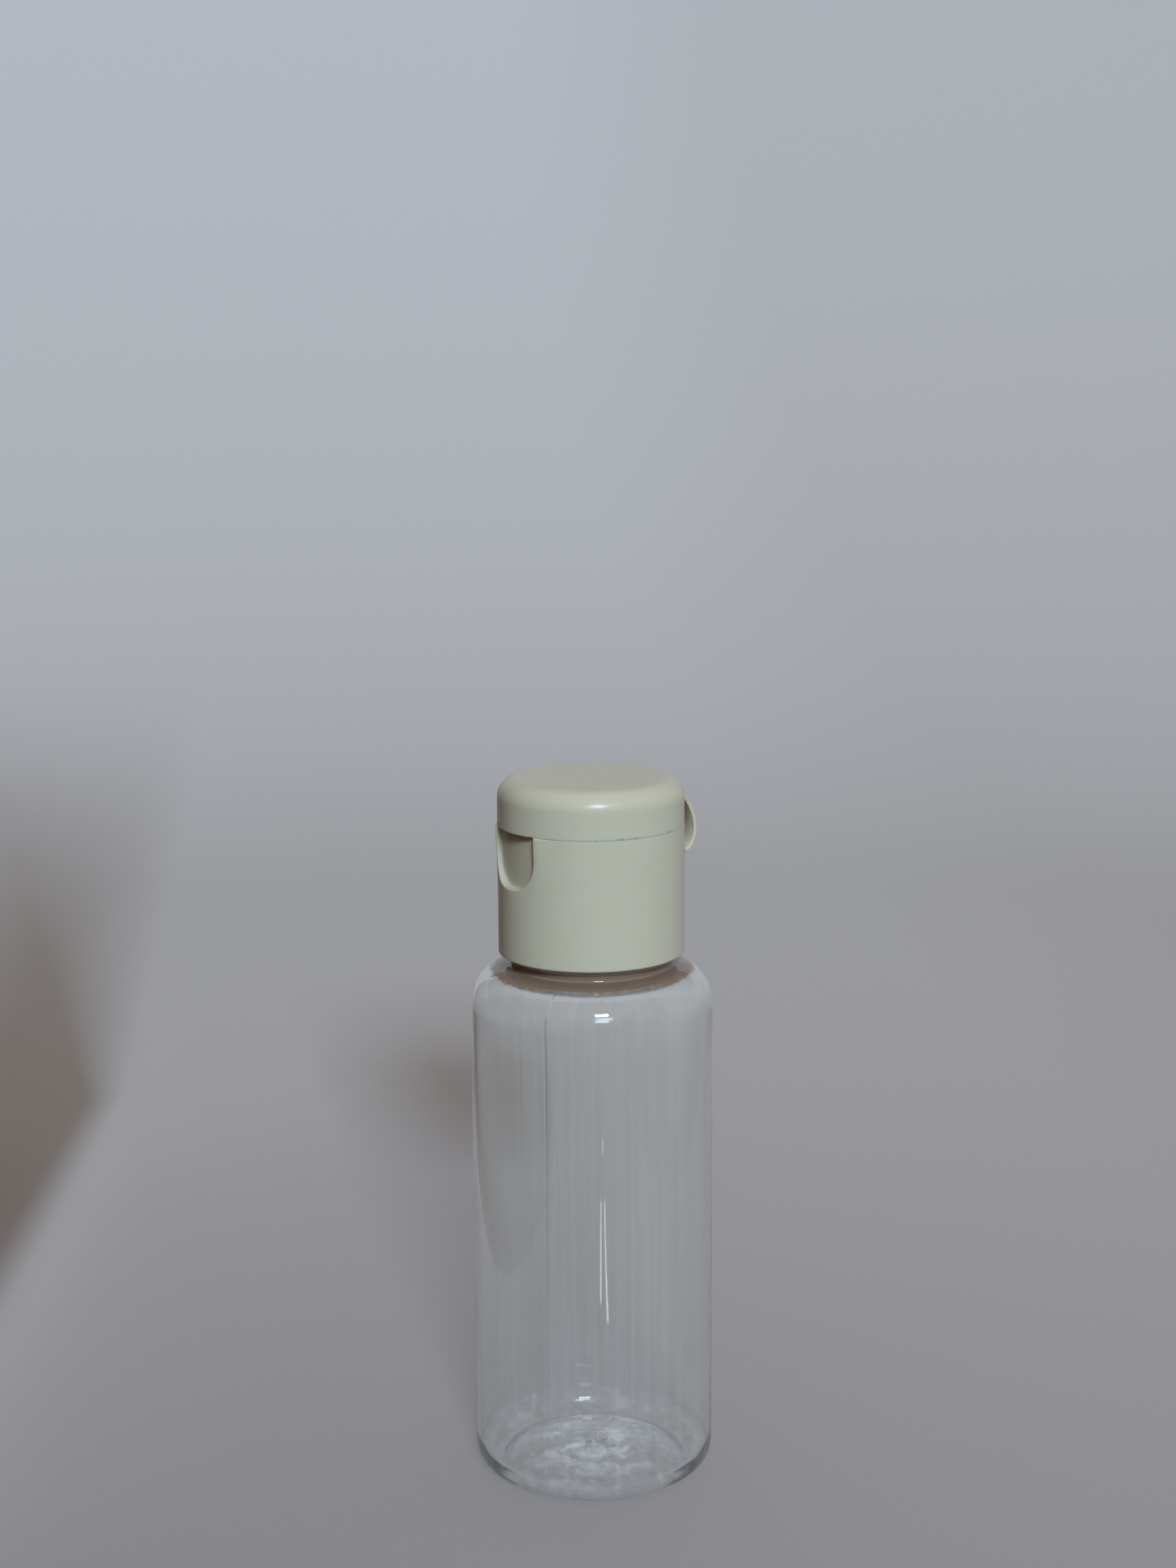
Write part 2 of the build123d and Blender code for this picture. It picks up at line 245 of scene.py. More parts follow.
def lathe_tree():
    tree = bpy.data.node_groups.new("lathe", "GeometryNodeTree")
    tree.interface.new_socket("Geometry", in_out="INPUT", socket_type="NodeSocketGeometry")
    for name, kind, value in LATHE_INPUTS:
        socket = tree.interface.new_socket(name, in_out="INPUT", socket_type=kind)
        if value is not None:
            socket.default_value = value
    tree.interface.new_socket("Geometry", in_out="OUTPUT", socket_type="NodeSocketGeometry")
    given = add_node(tree, "NodeGroupInput").outputs
    profile = given["Geometry"]
    rows = add_node(tree, "GeometryNodeAttributeDomainSize", {"Geometry": profile}).outputs[0]
    grid = add_node(
        tree,
        "GeometryNodeMeshGrid",
        {"Size X": 1.0, "Size Y": 1.0, "Vertices X": given["Columns"], "Vertices Y": rows},
    )
    place = add_node(tree, "GeometryNodeInputPosition").outputs[0]
    split = add_node(tree, "ShaderNodeSeparateXYZ", {0: place})
    across = add_node(tree, "ShaderNodeMath", {0: split.outputs[0], 1: 0.5}, operation="ADD")
    along = add_node(tree, "ShaderNodeMath", {0: split.outputs[1], 1: 0.5}, operation="ADD")
    last = add_node(tree, "ShaderNodeMath", {0: rows, 1: 1.0}, operation="SUBTRACT")
    row = add_node(
        tree, "ShaderNodeMath", {0: along.outputs[0], 1: last.outputs[0]}, operation="MULTIPLY"
    )
    number = add_node(tree, "FunctionNodeFloatToInt", {0: row.outputs[0]}, rounding_mode="ROUND")
    values = {name: given[name] for name, kind, value in LATHE_INPUTS}
    values["column"] = across.outputs[0]
    for name in MEASURES:
        field = add_node(
            tree, "GeometryNodeInputNamedAttribute", {"Name": name}, data_type="FLOAT"
        )
        values[name] = add_node(
            tree,
            "GeometryNodeSampleIndex",
            {"Geometry": profile, "Value": field.outputs["Attribute"], "Index": number.outputs[0]},
            data_type="FLOAT",
            domain="POINT",
        ).outputs[0]
    for sums in (EARLY_SUMS, LATHE_SUMS):
        for name, operation, *terms in sums:
            inputs = {i: values.get(term, term) for i, term in enumerate(terms)}
            node = add_node(tree, "ShaderNodeMath", inputs, operation=operation)
            values[name] = node.outputs[0]
        if sums is EARLY_SUMS:
            early = {0: values["x early"], 1: values["y early"], 2: values["z early"]}
            spot = add_node(tree, "ShaderNodeCombineXYZ", early).outputs[0]
            grain = {"Vector": spot, "Scale": given["Wave Scale"], "Detail": 1.5}
            values["noise"] = add_node(tree, "ShaderNodeTexNoise", grain).outputs[0]
    turned = add_node(
        tree, "ShaderNodeCombineXYZ", {0: values["x"], 1: values["y"], 2: values["height full"]}
    )
    wall = add_node(
        tree, "GeometryNodeSetPosition", {"Geometry": grid.outputs[0], "Position": turned.outputs[0]}
    )
    closed = add_node(
        tree, "GeometryNodeMergeByDistance", {"Geometry": wall.outputs[0], "Distance": WELD}
    )
    smooth = add_node(tree, "GeometryNodeSetShadeSmooth", {"Geometry": closed.outputs[0]})
    solid = add_node(tree, "GeometryNodeRealizeInstances", {"Geometry": smooth.outputs[0]})
    painted = add_node(
        tree,
        "GeometryNodeSetMaterial",
        {"Geometry": solid.outputs[0], "Material": given["Material"]},
    )
    add_node(tree, "NodeGroupOutput", {0: painted.outputs[0]})
    return tree


LATHE = lathe_tree()
print("the lathe has", len(LATHE.nodes), "nodes")

# %% [markdown]
# ## Drawing a profile
#
# A profile is drawn like a pencil line: straight runs and arcs, one after the other, in millimetres of
# radius and height. Real mouldings have no knife edges, so a corner is softened by moving each of its
# points a little towards the middle of its neighbours, a few times over.

# %% Profile helpers
def run(start, end, step=0.5):
    """Points from start to end, at most step apart, without the last one."""
    count = max(1, math.ceil(math.dist(start, end) / step))
    return [tuple(a + (b - a) * i / count for a, b in zip(start, end)) for i in range(count)]


def arc(centre, radius, first, last, step=0.25):
    """Points of an arc between two angles in degrees, without the last one."""
    count = max(2, math.ceil(abs(math.radians(last - first)) * radius / step))
    angles = [math.radians(first + (last - first) * i / count) for i in range(count)]
    return [(centre[0] + radius * math.cos(a), centre[1] + radius * math.sin(a)) for a in angles]


def path(corners, step=0.5):
    """Straight runs through all the corners, with the last one."""
    points = []
    for start, end in zip(corners, corners[1:]):
        points += run(start, end, step)
    return points + [corners[-1]]


def softened(points, times, low=None, high=None):
    """Rounds the corners of a line. low and high limit it to the points between two heights."""
    line = np.array(points, dtype=float)
    moves = np.ones(len(line), dtype=bool)
    moves[[0, -1]] = False
    if low is not None:
        moves &= (line[:, 1] >= low) & (line[:, 1] <= high)
    for _ in range(times):
        middle = line.copy()
        middle[1:-1] = (line[:-2] + 2 * line[1:-1] + line[2:]) / 4
        line[moves] = middle[moves]
    return [tuple(p) for p in line]


print("a quarter of a 10 mm circle takes", len(arc((0, 0), 10, 0, 90)), "points")

# %% [markdown]
# ## From a profile to a plain mesh
#
# The profile's points carry their measures as attributes, which is how the tree reads them. The result
# is settled: it is copied as a plain mesh at the origin, its doubles are merged and its faces are turned
# outwards, so that nothing of the modifier is left.

# %% Turning and settling
def turn(name, points, material, line=None, thread=None, wave=None, closed=False, **sizes):
    """Makes a finished mesh object from a profile in millimetres.

    line, thread and wave are functions of (radius, height) and give how high each may stand, in mm.
    """
    drawn = np.array(points, dtype=float)
    if closed:
        drawn = np.vstack([drawn, drawn[:1]])
    before, after = np.roll(drawn, 1, axis=0), np.roll(drawn, -1, axis=0)
    if not closed:
        before[0], after[-1] = drawn[0], drawn[-1]
    else:
        before[0], after[-1] = drawn[-2], drawn[1]
    along = after - before
    along /= np.maximum(np.linalg.norm(along, axis=1, keepdims=True), 1e-9)
    measures = {
        "radius": drawn[:, 0] * MM,
        "height": drawn[:, 1] * MM,
        "facing out": along[:, 1],
        "facing up": -along[:, 0],
    }
    for key, rule in (("line", line), ("thread", thread), ("wave", wave)):
        heights = [rule(r, z) if rule else 0.0 for r, z in drawn]
        measures[key] = np.array(heights) * MM
    mesh = bpy.data.meshes.new(name + " profile")
    edges = [(i, i + 1) for i in range(len(drawn) - 1)]
    mesh.from_pydata([(r * MM, 0, z * MM) for r, z in drawn], edges, [])
    for key, numbers in measures.items():
        attribute = mesh.attributes.new(key, "FLOAT", "POINT")
        attribute.data.foreach_set("value", np.asarray(numbers, dtype=np.float32))
    return grown(name, mesh, LATHE, {"Material": material, **sizes})


def grown(name, mesh, tree, wanted):
    """Runs a tree on a mesh, with some of its inputs set by name, and settles what comes out."""
    rough = bpy.data.objects.new(name + " rough", mesh)
    bpy.context.scene.collection.objects.link(rough)
    modifier = rough.modifiers.new(tree.name, "NODES")
    modifier.node_group = tree
    for socket in tree.interface.items_tree:
        if socket.in_out == "INPUT" and socket.name in wanted:
            modifier[socket.identifier] = wanted[socket.name]
    return settle(rough, name)


def settle(rough, name):
    """Turns an object and its modifiers into a plain object, and removes the first one."""
    seen = rough.evaluated_get(bpy.context.evaluated_depsgraph_get())
    mesh = bpy.data.meshes.new_from_object(seen)
    mesh.name = name
    bpy.data.objects.remove(rough, do_unlink=True)
    mesh_edit = bmesh.new()
    mesh_edit.from_mesh(mesh)
    bmesh.ops.remove_doubles(mesh_edit, verts=mesh_edit.verts, dist=0.001 * MM)
    bmesh.ops.recalc_face_normals(mesh_edit, faces=mesh_edit.faces)
    if mesh_edit.calc_volume(signed=True) < 0:
        bmesh.ops.reverse_faces(mesh_edit, faces=mesh_edit.faces)
    mesh_edit.to_mesh(mesh)
    mesh_edit.free()
    piece = bpy.data.objects.new(name, mesh)
    bpy.context.scene.collection.objects.link(piece)
    return piece


print("a profile's points carry", len(MEASURES), "measures each")

# %% [markdown]
# ## Clear PET
#
# PET for bottles is as clear as glass and bends light a little more, with an index of 1.575. The walls
# are thin, so what shows is mostly their edges and the soft gloss. Drawing the hot preform down leaves
# fine upright streaks, which are a noise texture in a space that is stretched along the bottle.
#
# The material is built up over the next five cells, one for each thing that can be seen in the wall. Most
# of them are fades, made with Map Range: it takes a value, the two ends that it reads and the two ends
# that it gives, in that order.

# %% Material: blow-moulded PET, its streaks
PET_INDEX = 1.575
PET_ROUGHNESS = 0.04
STREAK_GAP, STREAK_LENGTH = 0.9 * MM, 40 * MM
RIPPLE_SIZE = 6 * MM


def principled(material):
    """The tree of a new material, and its shader."""
    material.use_nodes = True
    return material.node_tree, material.node_tree.nodes["Principled BSDF"]


PET = bpy.data.materials.new("clear blow-moulded PET")
pet, pet_shader = principled(PET)
pet_shader.inputs["IOR"].default_value = PET_INDEX
pet_shader.inputs["Roughness"].default_value = PET_ROUGHNESS
pet_shader.inputs["Transmission Weight"].default_value = 1.0
place = add_node(pet, "ShaderNodeTexCoord").outputs["Object"]
stretched = add_node(
    pet,
    "ShaderNodeMapping",
    {"Vector": place, "Scale": (1 / STREAK_GAP, 1 / STREAK_GAP, 1 / STREAK_LENGTH)},
)
streaks = add_node(
    pet, "ShaderNodeTexNoise", {"Vector": stretched.outputs[0], "Scale": 1.0, "Detail": 2.0}
).outputs[0]
ripple = add_node(
    pet, "ShaderNodeTexNoise", {"Vector": place, "Scale": 1 / RIPPLE_SIZE, "Detail": 1.0}
).outputs[0]
uneven = add_node(pet, "ShaderNodeMath", {0: streaks, 1: 0.25, 2: ripple}, operation="MULTIPLY_ADD")
bump = add_node(
    pet, "ShaderNodeBump", {"Height": uneven.outputs[0], "Strength": 0.12, "Distance": 0.05 * MM}
)
pet.links.new(bump.outputs[0], pet_shader.inputs["Normal"])
print("streaks", STREAK_GAP / MM, "mm apart and", STREAK_LENGTH / MM, "mm long")

# %% [markdown]
# The resin at the foot of the neck is hardly stretched at all: it stays thick, and the ring is painted
# darker and warmer. That brown is painted shade, standing in for the shaded underside of the closure seen
# in and through the thick wall. Its edge is ragged where the stretching began. That edge is a circle with
# noise added to its radius, and the noise is read by direction alone, so that the teeth run straight
# through the wall. The light crescent on the bead just above it, at the very foot of the neck, is a
# painted highlight, where the bead's top catches the light.

# %% Material: painted shade in the thick resin, and a painted highlight on the bead
# the brown ring at the foot of the neck is painted shade
NECK_SHADE_RADIUS, NECK_SHADE_EDGE = 12.9 * MM, 0.05 * MM
NECK_SHADE_LOW, NECK_SHADE_HIGH = 66.0 * MM, 68.0 * MM
TEETH = 4.0 * MM  # from the deepest tooth to the longest
# the light crescent along the bead's top is a painted highlight
BEAD_LIT_LOW, BEAD_INNER = 68.0 * MM, 9.6 * MM

axes = add_node(pet, "ShaderNodeSeparateXYZ", {0: place}).outputs
flat = add_node(pet, "ShaderNodeCombineXYZ", {0: axes[0], 1: axes[1]}).outputs[0]
radius = add_node(pet, "ShaderNodeVectorMath", {0: flat}, operation="LENGTH").outputs["Value"]
unit = add_node(pet, "ShaderNodeVectorMath", {0: flat}, operation="NORMALIZE").outputs[0]
ragged = add_node(
    pet, "ShaderNodeTexNoise", {"Vector": unit, "Scale": 13.0, "Detail": 5.0, "Roughness": 0.72}
).outputs[0]
edge = add_node(
    pet,
    "ShaderNodeMath",
    {0: ragged, 1: -TEETH, 2: NECK_SHADE_RADIUS + TEETH / 2},
    operation="MULTIPLY_ADD",
).outputs[0]
edge_end = add_node(pet, "ShaderNodeMath", {0: edge, 1: NECK_SHADE_EDGE}, operation="ADD").outputs[0]
fades = {}
for name, value, start, end, first, last in (
    ("inside", radius, edge, edge_end, 1.0, 0.0),
    ("over foot", axes[2], NECK_SHADE_LOW, NECK_SHADE_LOW + 0.3 * MM, 0.0, 1.0),
    ("under top", axes[2], NECK_SHADE_HIGH, NECK_SHADE_HIGH + 0.1 * MM, 1.0, 0.0),
    ("in bead", axes[2], BEAD_LIT_LOW, BEAD_LIT_LOW + 0.08 * MM, 0.0, 1.0),
    ("outer bead", radius, BEAD_INNER, BEAD_INNER + 0.2 * MM, 0.0, 1.0),
):
    ends = {0: value, 1: start, 2: end, 3: first, 4: last}
    fades[name] = add_node(pet, "ShaderNodeMapRange", ends).outputs[0]
for name, one, other in (
    ("band", "over foot", "under top"),
    ("thick", "band", "inside"),
    ("milky", "in bead", "outer bead"),
):
    both = {0: fades[one], 1: fades[other]}
    fades[name] = add_node(pet, "ShaderNodeMath", both, operation="MULTIPLY").outputs[0]
print("thick resin out to", round(NECK_SHADE_RADIUS / MM, 1), "mm, with teeth", TEETH / MM, "mm long")

# %% [markdown]
# The two halves of the mould met in a fine upright line. Along its outer face, on one side of the bottle,
# a dark line is painted: painted shade for the dark edge that the ridge shows, faint down the barrel and
# stronger towards the top. A dot product with the line's own direction tells how far out a point is, and
# one with the direction across it tells how far beside the line it is.

# %% Material: painted shade along the mould line, and the colour
MOULD_LINE = math.radians(38.3)  # round from the recess

ahead = compass(MOULD_LINE)
sideways = Vector((-ahead.y, ahead.x, 0))
out = add_node(pet, "ShaderNodeVectorMath", {0: place, 1: ahead}, operation="DOT_PRODUCT")
beside = add_node(pet, "ShaderNodeVectorMath", {0: place, 1: sideways}, operation="DOT_PRODUCT")
near = add_node(pet, "ShaderNodeMath", {0: beside.outputs["Value"]}, operation="ABSOLUTE").outputs[0]
# the dark line along the mould line's outer face is painted shade, stronger towards the top
for name, value, start, end, first, last in (
    ("line", near, 0.05 * MM, 0.17 * MM, 1.0, 0.0),
    ("skin", out.outputs["Value"], 15.1 * MM, 15.3 * MM, 0.0, 1.0),
    ("upper", axes[2], 22 * MM, 52 * MM, 0.1, 0.48),
):
    ends = {0: value, 1: start, 2: end, 3: first, 4: last}
    fades[name] = add_node(pet, "ShaderNodeMapRange", ends).outputs[0]
for name, one, other in (("outer line", "line", "skin"), ("line dirt", "outer line", "upper")):
    both = {0: fades[one], 1: fades[other]}
    fades[name] = add_node(pet, "ShaderNodeMath", both, operation="MULTIPLY").outputs[0]
tint = linear("#fafbf9")
# the tint paints shade on the ring, a highlight on the bead and shade along the mould line
for factor, hex_value in (("thick", "#927b6a"), ("milky", "#d0d4c6"), ("line dirt", "#4f4a48")):
    tint = add_node(
        pet,
        "ShaderNodeMix",
        {"Factor": fades[factor], "A": tint, "B": linear(hex_value)},
        data_type="RGBA",
    ).outputs["Result"]
pet.links.new(tint, pet_shader.inputs["Base Color"])
print("mould line", round(math.degrees(MOULD_LINE), 1), "degrees round from the recess")

# %% [markdown]
# Haze is light that the resin scatters, so it is taken off the transmission. There is a little in the
# streaks, more on the shoulder, and most round the gate, in white patches that are painted highlights:
# they stand in for the lamp's glints in the uneven floor. The painted brown ring and the painted light
# bead lose half of theirs.

# %% Material: haze, and painted highlights round the gate
GLINT_SIZE = 2.6 * MM

# white patches round the gate: painted highlights that stand in for the lamp's glints in the floor
glints = add_node(
    pet,
    "ShaderNodeTexNoise",
    {"Vector": place, "Scale": 1 / GLINT_SIZE, "Detail": 3.0, "Distortion": 1.2},
).outputs[0]
for name, value, start, end, first, last in (
    ("shoulder", axes[2], 58 * MM, 65 * MM, 0.03, 0.08),
    ("near gate", radius, 3.0 * MM, 10.5 * MM, 0.6, 0.1),
    ("near floor", axes[2], 3.2 * MM, 3.8 * MM, 1.0, 0.0),
    ("clot", glints, 0.48, 0.68, 0.1, 1.0),
    ("streaky", streaks, 0.35, 0.65, 1.01, 0.98),
):
    ends = {0: value, 1: start, 2: end, 3: first, 4: last}
    fades[name] = add_node(pet, "ShaderNodeMapRange", ends).outputs[0]
for name, operation, *terms in (
    ("gate clot", "MULTIPLY", "near gate", "clot"),
    ("gate haze", "MULTIPLY", "gate clot", "near floor"),
    ("less shoulder", "SUBTRACT", "streaky", "shoulder"),
    ("less gate", "SUBTRACT", "less shoulder", "gate haze"),
    # the painted brown ring and the painted light bead take less transmission, so their colours show
    ("less ring", "MULTIPLY_ADD", "thick", -0.5, "less gate"),
    ("less bead", "MULTIPLY_ADD", "milky", -0.5, "less ring"),
):
    inputs = {i: fades.get(term, term) for i, term in enumerate(terms)}
    fades[name] = add_node(pet, "ShaderNodeMath", inputs, operation=operation).outputs[0]
pet.links.new(fades["less bead"], pet_shader.inputs["Transmission Weight"])
print("glints", GLINT_SIZE / MM, "mm across")

# %% [markdown]
# A lamp can't be seen through a solid that bends light, so clear walls would throw a dark shadow. In life
# nearly all of the lamp's light comes through, so for shadow and diffuse rays the wall is only tinted.

# %% Material: light through the wall
rays = add_node(pet, "ShaderNodeLightPath").outputs
soft = add_node(
    pet, "ShaderNodeMath", {0: rays["Is Shadow Ray"], 1: rays["Is Diffuse Ray"]}, operation="MAXIMUM"
)
clear = add_node(pet, "ShaderNodeBsdfTransparent", {"Color": linear("#f3f4f6")})
mixed = add_node(
    pet, "ShaderNodeMixShader", {0: soft.outputs[0], 1: pet_shader.outputs[0], 2: clear.outputs[0]}
)
pet.links.new(mixed.outputs[0], pet.nodes["Material Output"].inputs["Surface"])
print("PET:", len(pet.nodes), "nodes")

# %% [markdown]
# ## Ivory polypropylene
#
# The closure is injection moulded in polypropylene tinted to a greenish ivory. It is satin rather than
# glossy, because the steel it was moulded against was finely textured, and light goes a little way into
# it. The colour wanders very slightly over the moulding.

# %% Material: satin polypropylene
IVORY = bpy.data.materials.new("satin polypropylene")
ivory, ivory_shader = principled(IVORY)
for name, value in (
    ("Roughness", 0.3),
    ("Specular IOR Level", 0.3),
    ("IOR", 1.49),
    ("Subsurface Weight", 0.7),
    ("Subsurface Radius", (1.0, 0.62, 0.35)),
    ("Subsurface Scale", 1.2 * MM),
):
    ivory_shader.inputs[name].default_value = value
place = add_node(ivory, "ShaderNodeTexCoord").outputs["Object"]
noises = {}
for name, size, detail in (
    ("cloudy", 9 * MM, 2.0),
    ("patches", 1.6 * MM, 3.0),
    ("grain", 0.25 * MM, 2.0),  # the mould's fine texture, from hill to hill
):
    inputs = {"Vector": place, "Scale": 1 / size, "Detail": detail}
    noises[name] = add_node(ivory, "ShaderNodeTexNoise", inputs).outputs[0]
bump = add_node(
    ivory, "ShaderNodeBump", {"Height": noises["grain"], "Strength": 0.25, "Distance": 0.01 * MM}
)
ivory.links.new(bump.outputs[0], ivory_shader.inputs["Normal"])
colour = add_node(
    ivory,
    "ShaderNodeMix",
    {"Factor": noises["cloudy"], "A": linear("#c1beab"), "B": linear("#bdbaa6")},
    data_type="RGBA",
).outputs["Result"]
print("polypropylene: noises", ", ".join(noises))

# %% [markdown]
# Handling leaves a few specks, a fifth of a millimetre across. A Voronoi texture divides space into
# cells, and each cell has a colour of its own at random, so a high red picks out one cell in forty. The
# line between closure and lid gathers dirt in patches, but only on the outside.

# %% Material: specks and the dirt in the parting
CAP_PARTING = 85.35  # mm: where the lid meets the closure
SPECK_CELL = 2.6 * MM
SPECK_RARITY = 0.975
DIRT_RADIUS = 11.6 * MM

cells = add_node(ivory, "ShaderNodeTexVoronoi", {"Vector": place, "Scale": 1 / SPECK_CELL}).outputs
chances = add_node(ivory, "ShaderNodeSeparateColor", {0: cells["Color"]}).outputs
axes = add_node(ivory, "ShaderNodeSeparateXYZ", {0: place}).outputs
flat = add_node(ivory, "ShaderNodeCombineXYZ", {0: axes[0], 1: axes[1]}).outputs[0]
radius = add_node(ivory, "ShaderNodeVectorMath", {0: flat}, operation="LENGTH").outputs["Value"]
marks = {"chance": chances[0], "height": axes[2], "radius": radius}
for name, operation, *terms in (
    ("chosen", "GREATER_THAN", "chance", SPECK_RARITY),
    ("outer", "GREATER_THAN", "radius", DIRT_RADIUS),
    ("above", "SUBTRACT", "height", CAP_PARTING * MM),
    ("away", "ABSOLUTE", "above"),
):
    inputs = {i: marks.get(term, term) for i, term in enumerate(terms)}
    marks[name] = add_node(ivory, "ShaderNodeMath", inputs, operation=operation).outputs[0]
for name, value, start, end, first, last in (
    ("dot", cells["Distance"], 0.03, 0.075, 0.45, 0.0),
    ("seam", marks["away"], 0.05 * MM, 0.2 * MM, 1.0, 0.0),
    ("grime", noises["patches"], 0.55, 0.75, 0.0, 0.5),
):
    ends = {0: value, 1: start, 2: end, 3: first, 4: last}
    marks[name] = add_node(ivory, "ShaderNodeMapRange", ends).outputs[0]
for name, one, other in (
    ("speck", "chosen", "dot"),
    ("outer seam", "seam", "outer"),
    ("dirty", "outer seam", "grime"),
):
    both = {0: marks[one], 1: marks[other]}
    marks[name] = add_node(ivory, "ShaderNodeMath", both, operation="MULTIPLY").outputs[0]
for factor, hex_value in (("speck", "#5d5a50"), ("dirty", "#4c463c")):
    colour = add_node(
        ivory,
        "ShaderNodeMix",
        {"Factor": marks[factor], "A": colour, "B": linear(hex_value)},
        data_type="RGBA",
    ).outputs["Result"]
ivory.links.new(colour, ivory_shader.inputs["Base Color"])
print("polypropylene:", len(ivory.nodes), "nodes")

# %% [markdown]
# ## The bottle
#
# The outline runs from the gate under the foot, over the dome and the ring it stands on, round the
# heel, up the barrel and the shoulder to the neck, over the rim and back down the inside. It is one
# closed skin with real thickness, because the light in a clear wall bends at both of its faces.

# %% The bottle's profile
BODY_R, WALL = 15.4, 0.55
HEEL_R, SHOULDER_R = 3.0, 4.9
SHOULDER_TOP, LAND = 67.2, 82.0
NECK_R, BORE_R, BEAD_R = 8.85, 7.2, 10.4
BEAD_TOP = 68.62
NECK_LOW, THREAD_LOW, RIM_LOW = 69.5, 74.0, 81.2
INNER_R = BODY_R - WALL
SHOULDER_Z = SHOULDER_TOP - 0.1 - SHOULDER_R
SHOULDER_C = (BODY_R - SHOULDER_R, SHOULDER_Z)
THREAD_TURNS = 1.5
THREAD_START = LAND - 1.9 - THREAD_TURNS * THREAD_PITCH


def bottle_profile():
    gate = path([(0, 1.42), (0.85, 1.42), (1.15, 1.62), (1.3, 1.88)], 0.2)
    dome = path(
        [(1.3, 1.88), (5.5, 1.62), (8.5, 1.25), (9.8, 0.98), (10.5, 0.68), (11.1, 0.3), (11.8, 0.0)], 0.3
    )
    under = softened(gate[:-1] + dome, 10)
    outside = under + run((11.8, 0), (12.4, 0), 0.2)[1:]
    outside += arc((12.4, HEEL_R), HEEL_R, -90, 0, 0.25)
    outside += run((BODY_R, HEEL_R), (BODY_R, SHOULDER_Z), 1.2)
    outside += arc(SHOULDER_C, SHOULDER_R, 0, 81.5, 0.22)
    tip = arc(SHOULDER_C, SHOULDER_R, 81.5, 82, 0.25)[0]
    bead = path(
        [tip, (BEAD_R, SHOULDER_TOP), (BEAD_R, BEAD_TOP), (NECK_R, BEAD_TOP), (NECK_R, NECK_LOW)], 0.16
    )
    outside += softened(bead, 3)[:-1]
    outside += run((NECK_R, NECK_LOW), (NECK_R, THREAD_LOW), 0.5)
    outside += run((NECK_R, THREAD_LOW), (NECK_R, RIM_LOW), 0.17)
    rim = path([(NECK_R, RIM_LOW), (NECK_R, LAND), (BORE_R, LAND), (BORE_R, RIM_LOW)], 0.16)
    outside += softened(rim, 3)[:-1]
    inside = run((BORE_R, RIM_LOW), (BORE_R, 67.6), 1.0)
    throat = path([(BORE_R, 67.6), (BORE_R, 66.7), (8.3, 65.3), (10.2, 65.6), (11.3, 65.95)], 0.3)
    bend = arc((SHOULDER_C[0], SHOULDER_Z - 0.5), SHOULDER_R - WALL, 74, 0, 0.25)
    inside += softened(throat[:-1] + bend[:6], 6)[:-1] + bend[6:]
    inside += run((INNER_R, SHOULDER_Z - 0.5), (INNER_R, 3.35), 1.2)
    quarter = np.radians(np.linspace(0, -90, 15))
    heel = [(12.35 + 2.5 * math.cos(a), 3.35 + 2.65 * math.sin(a)) for a in quarter]
    floor = path(
        [(12.35, 0.7), (11.3, 0.95), (10.3, 1.5), (9.4, 1.85), (8.0, 2.1), (5.5, 2.5), (2.6, 2.95),
         (1.4, 3.1), (0, 3.05)], 0.25)
    inside += softened(heel[:-1] + floor, 12)
    return outside + inside


print("the bottle's profile has", len(bottle_profile()), "points")

# %% [markdown]
# Three rules tell the lathe what to add to the plain shape, from a point's radius and height. The mould
# line stands on the outside of the barrel and the shoulder. The thread stands on the neck. The wall is
# uneven on its inner face, and most of all on the floor, where the resin was hardly blown out.

# %% The bottle
LINE_HEIGHT = 0.035
FLOOR_TOP, FLOOR_R, GATE_R = 3.6, 10.5, 6


def line_height(r, z):
    """The mould line is high at the shoulder and fades down the barrel."""
    on_neck = r < NECK_R + 1.8
    under_foot = r < BODY_R - 0.2 and z < HEEL_R
    on_inner_face = r < INNER_R + 0.05 and z < SHOULDER_Z
    if on_neck or under_foot or on_inner_face:
        return 0.0
    fade = min(1.0, max(0.25, (z - 12) / 38))
    top = min(1.0, max(0.0, (66.9 - z) / 1.5))
    return LINE_HEIGHT * fade * top


def neck_thread(r, z):
    """The thread stands on the neck's outer face only."""
    return 1.0 if abs(r - NECK_R) < 0.01 and 70 < z < RIM_LOW + 0.1 else 0.0


def wall_wave(r, z):
    """The inner face is uneven everywhere, and most of all on the floor round the gate."""
    if z < FLOOR_TOP and r < FLOOR_R:
        if z > 1.9 or r < 4:
            return 0.35 + 0.6 * max(0.0, 1 - r / GATE_R)
        return 0.1
    if abs(r - BODY_R) < 0.02:
        return 0.0
    if r > BORE_R + 1.5:
        return 0.05
    return 0.0


bottle = turn(
    "bottle_body",
    bottle_profile(),
    PET,
    line=line_height,
    thread=neck_thread,
    wave=wall_wave,
    **{
        "Columns": 193,
        "Crowding": 0.85,
        "Mould Line": MOULD_LINE,
        "Thread Start": THREAD_START * MM,
        "Thread Turns": THREAD_TURNS,
        "Wave Scale": 1 / (3.2 * MM),
    },
)
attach(bottle, "bottle")
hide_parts("bottle")
print("bottle:", len(bottle.data.polygons), "faces")

# %% [markdown]
# ## The closure
#
# One wall carries everything: the thread inside, the deck that seals the neck, the collar that the lid
# snaps over, and the spout. Its profile is a closed line, so the lathe makes a closed ring of it.

# %% The closure's profile
CAP_R, CAP_FOOT = 11.8, 68.7
SKIRT_BORE = 10.15
DECK_UNDER, DECK_TOP = 82.8, 84.0
COLLAR_R, COLLAR_TOP = 10.35, 86.65
SPOUT_R, SPOUT_TOP = 1.6, 87.05
SKIRT_THREAD_LOW, SKIRT_THREAD_TOP = 72.0, 79.5
STEP = 0.12  # the closure's rim stands this far below the parting
FOOT_BREAK, RIM_BREAK = 0.16, 0.03


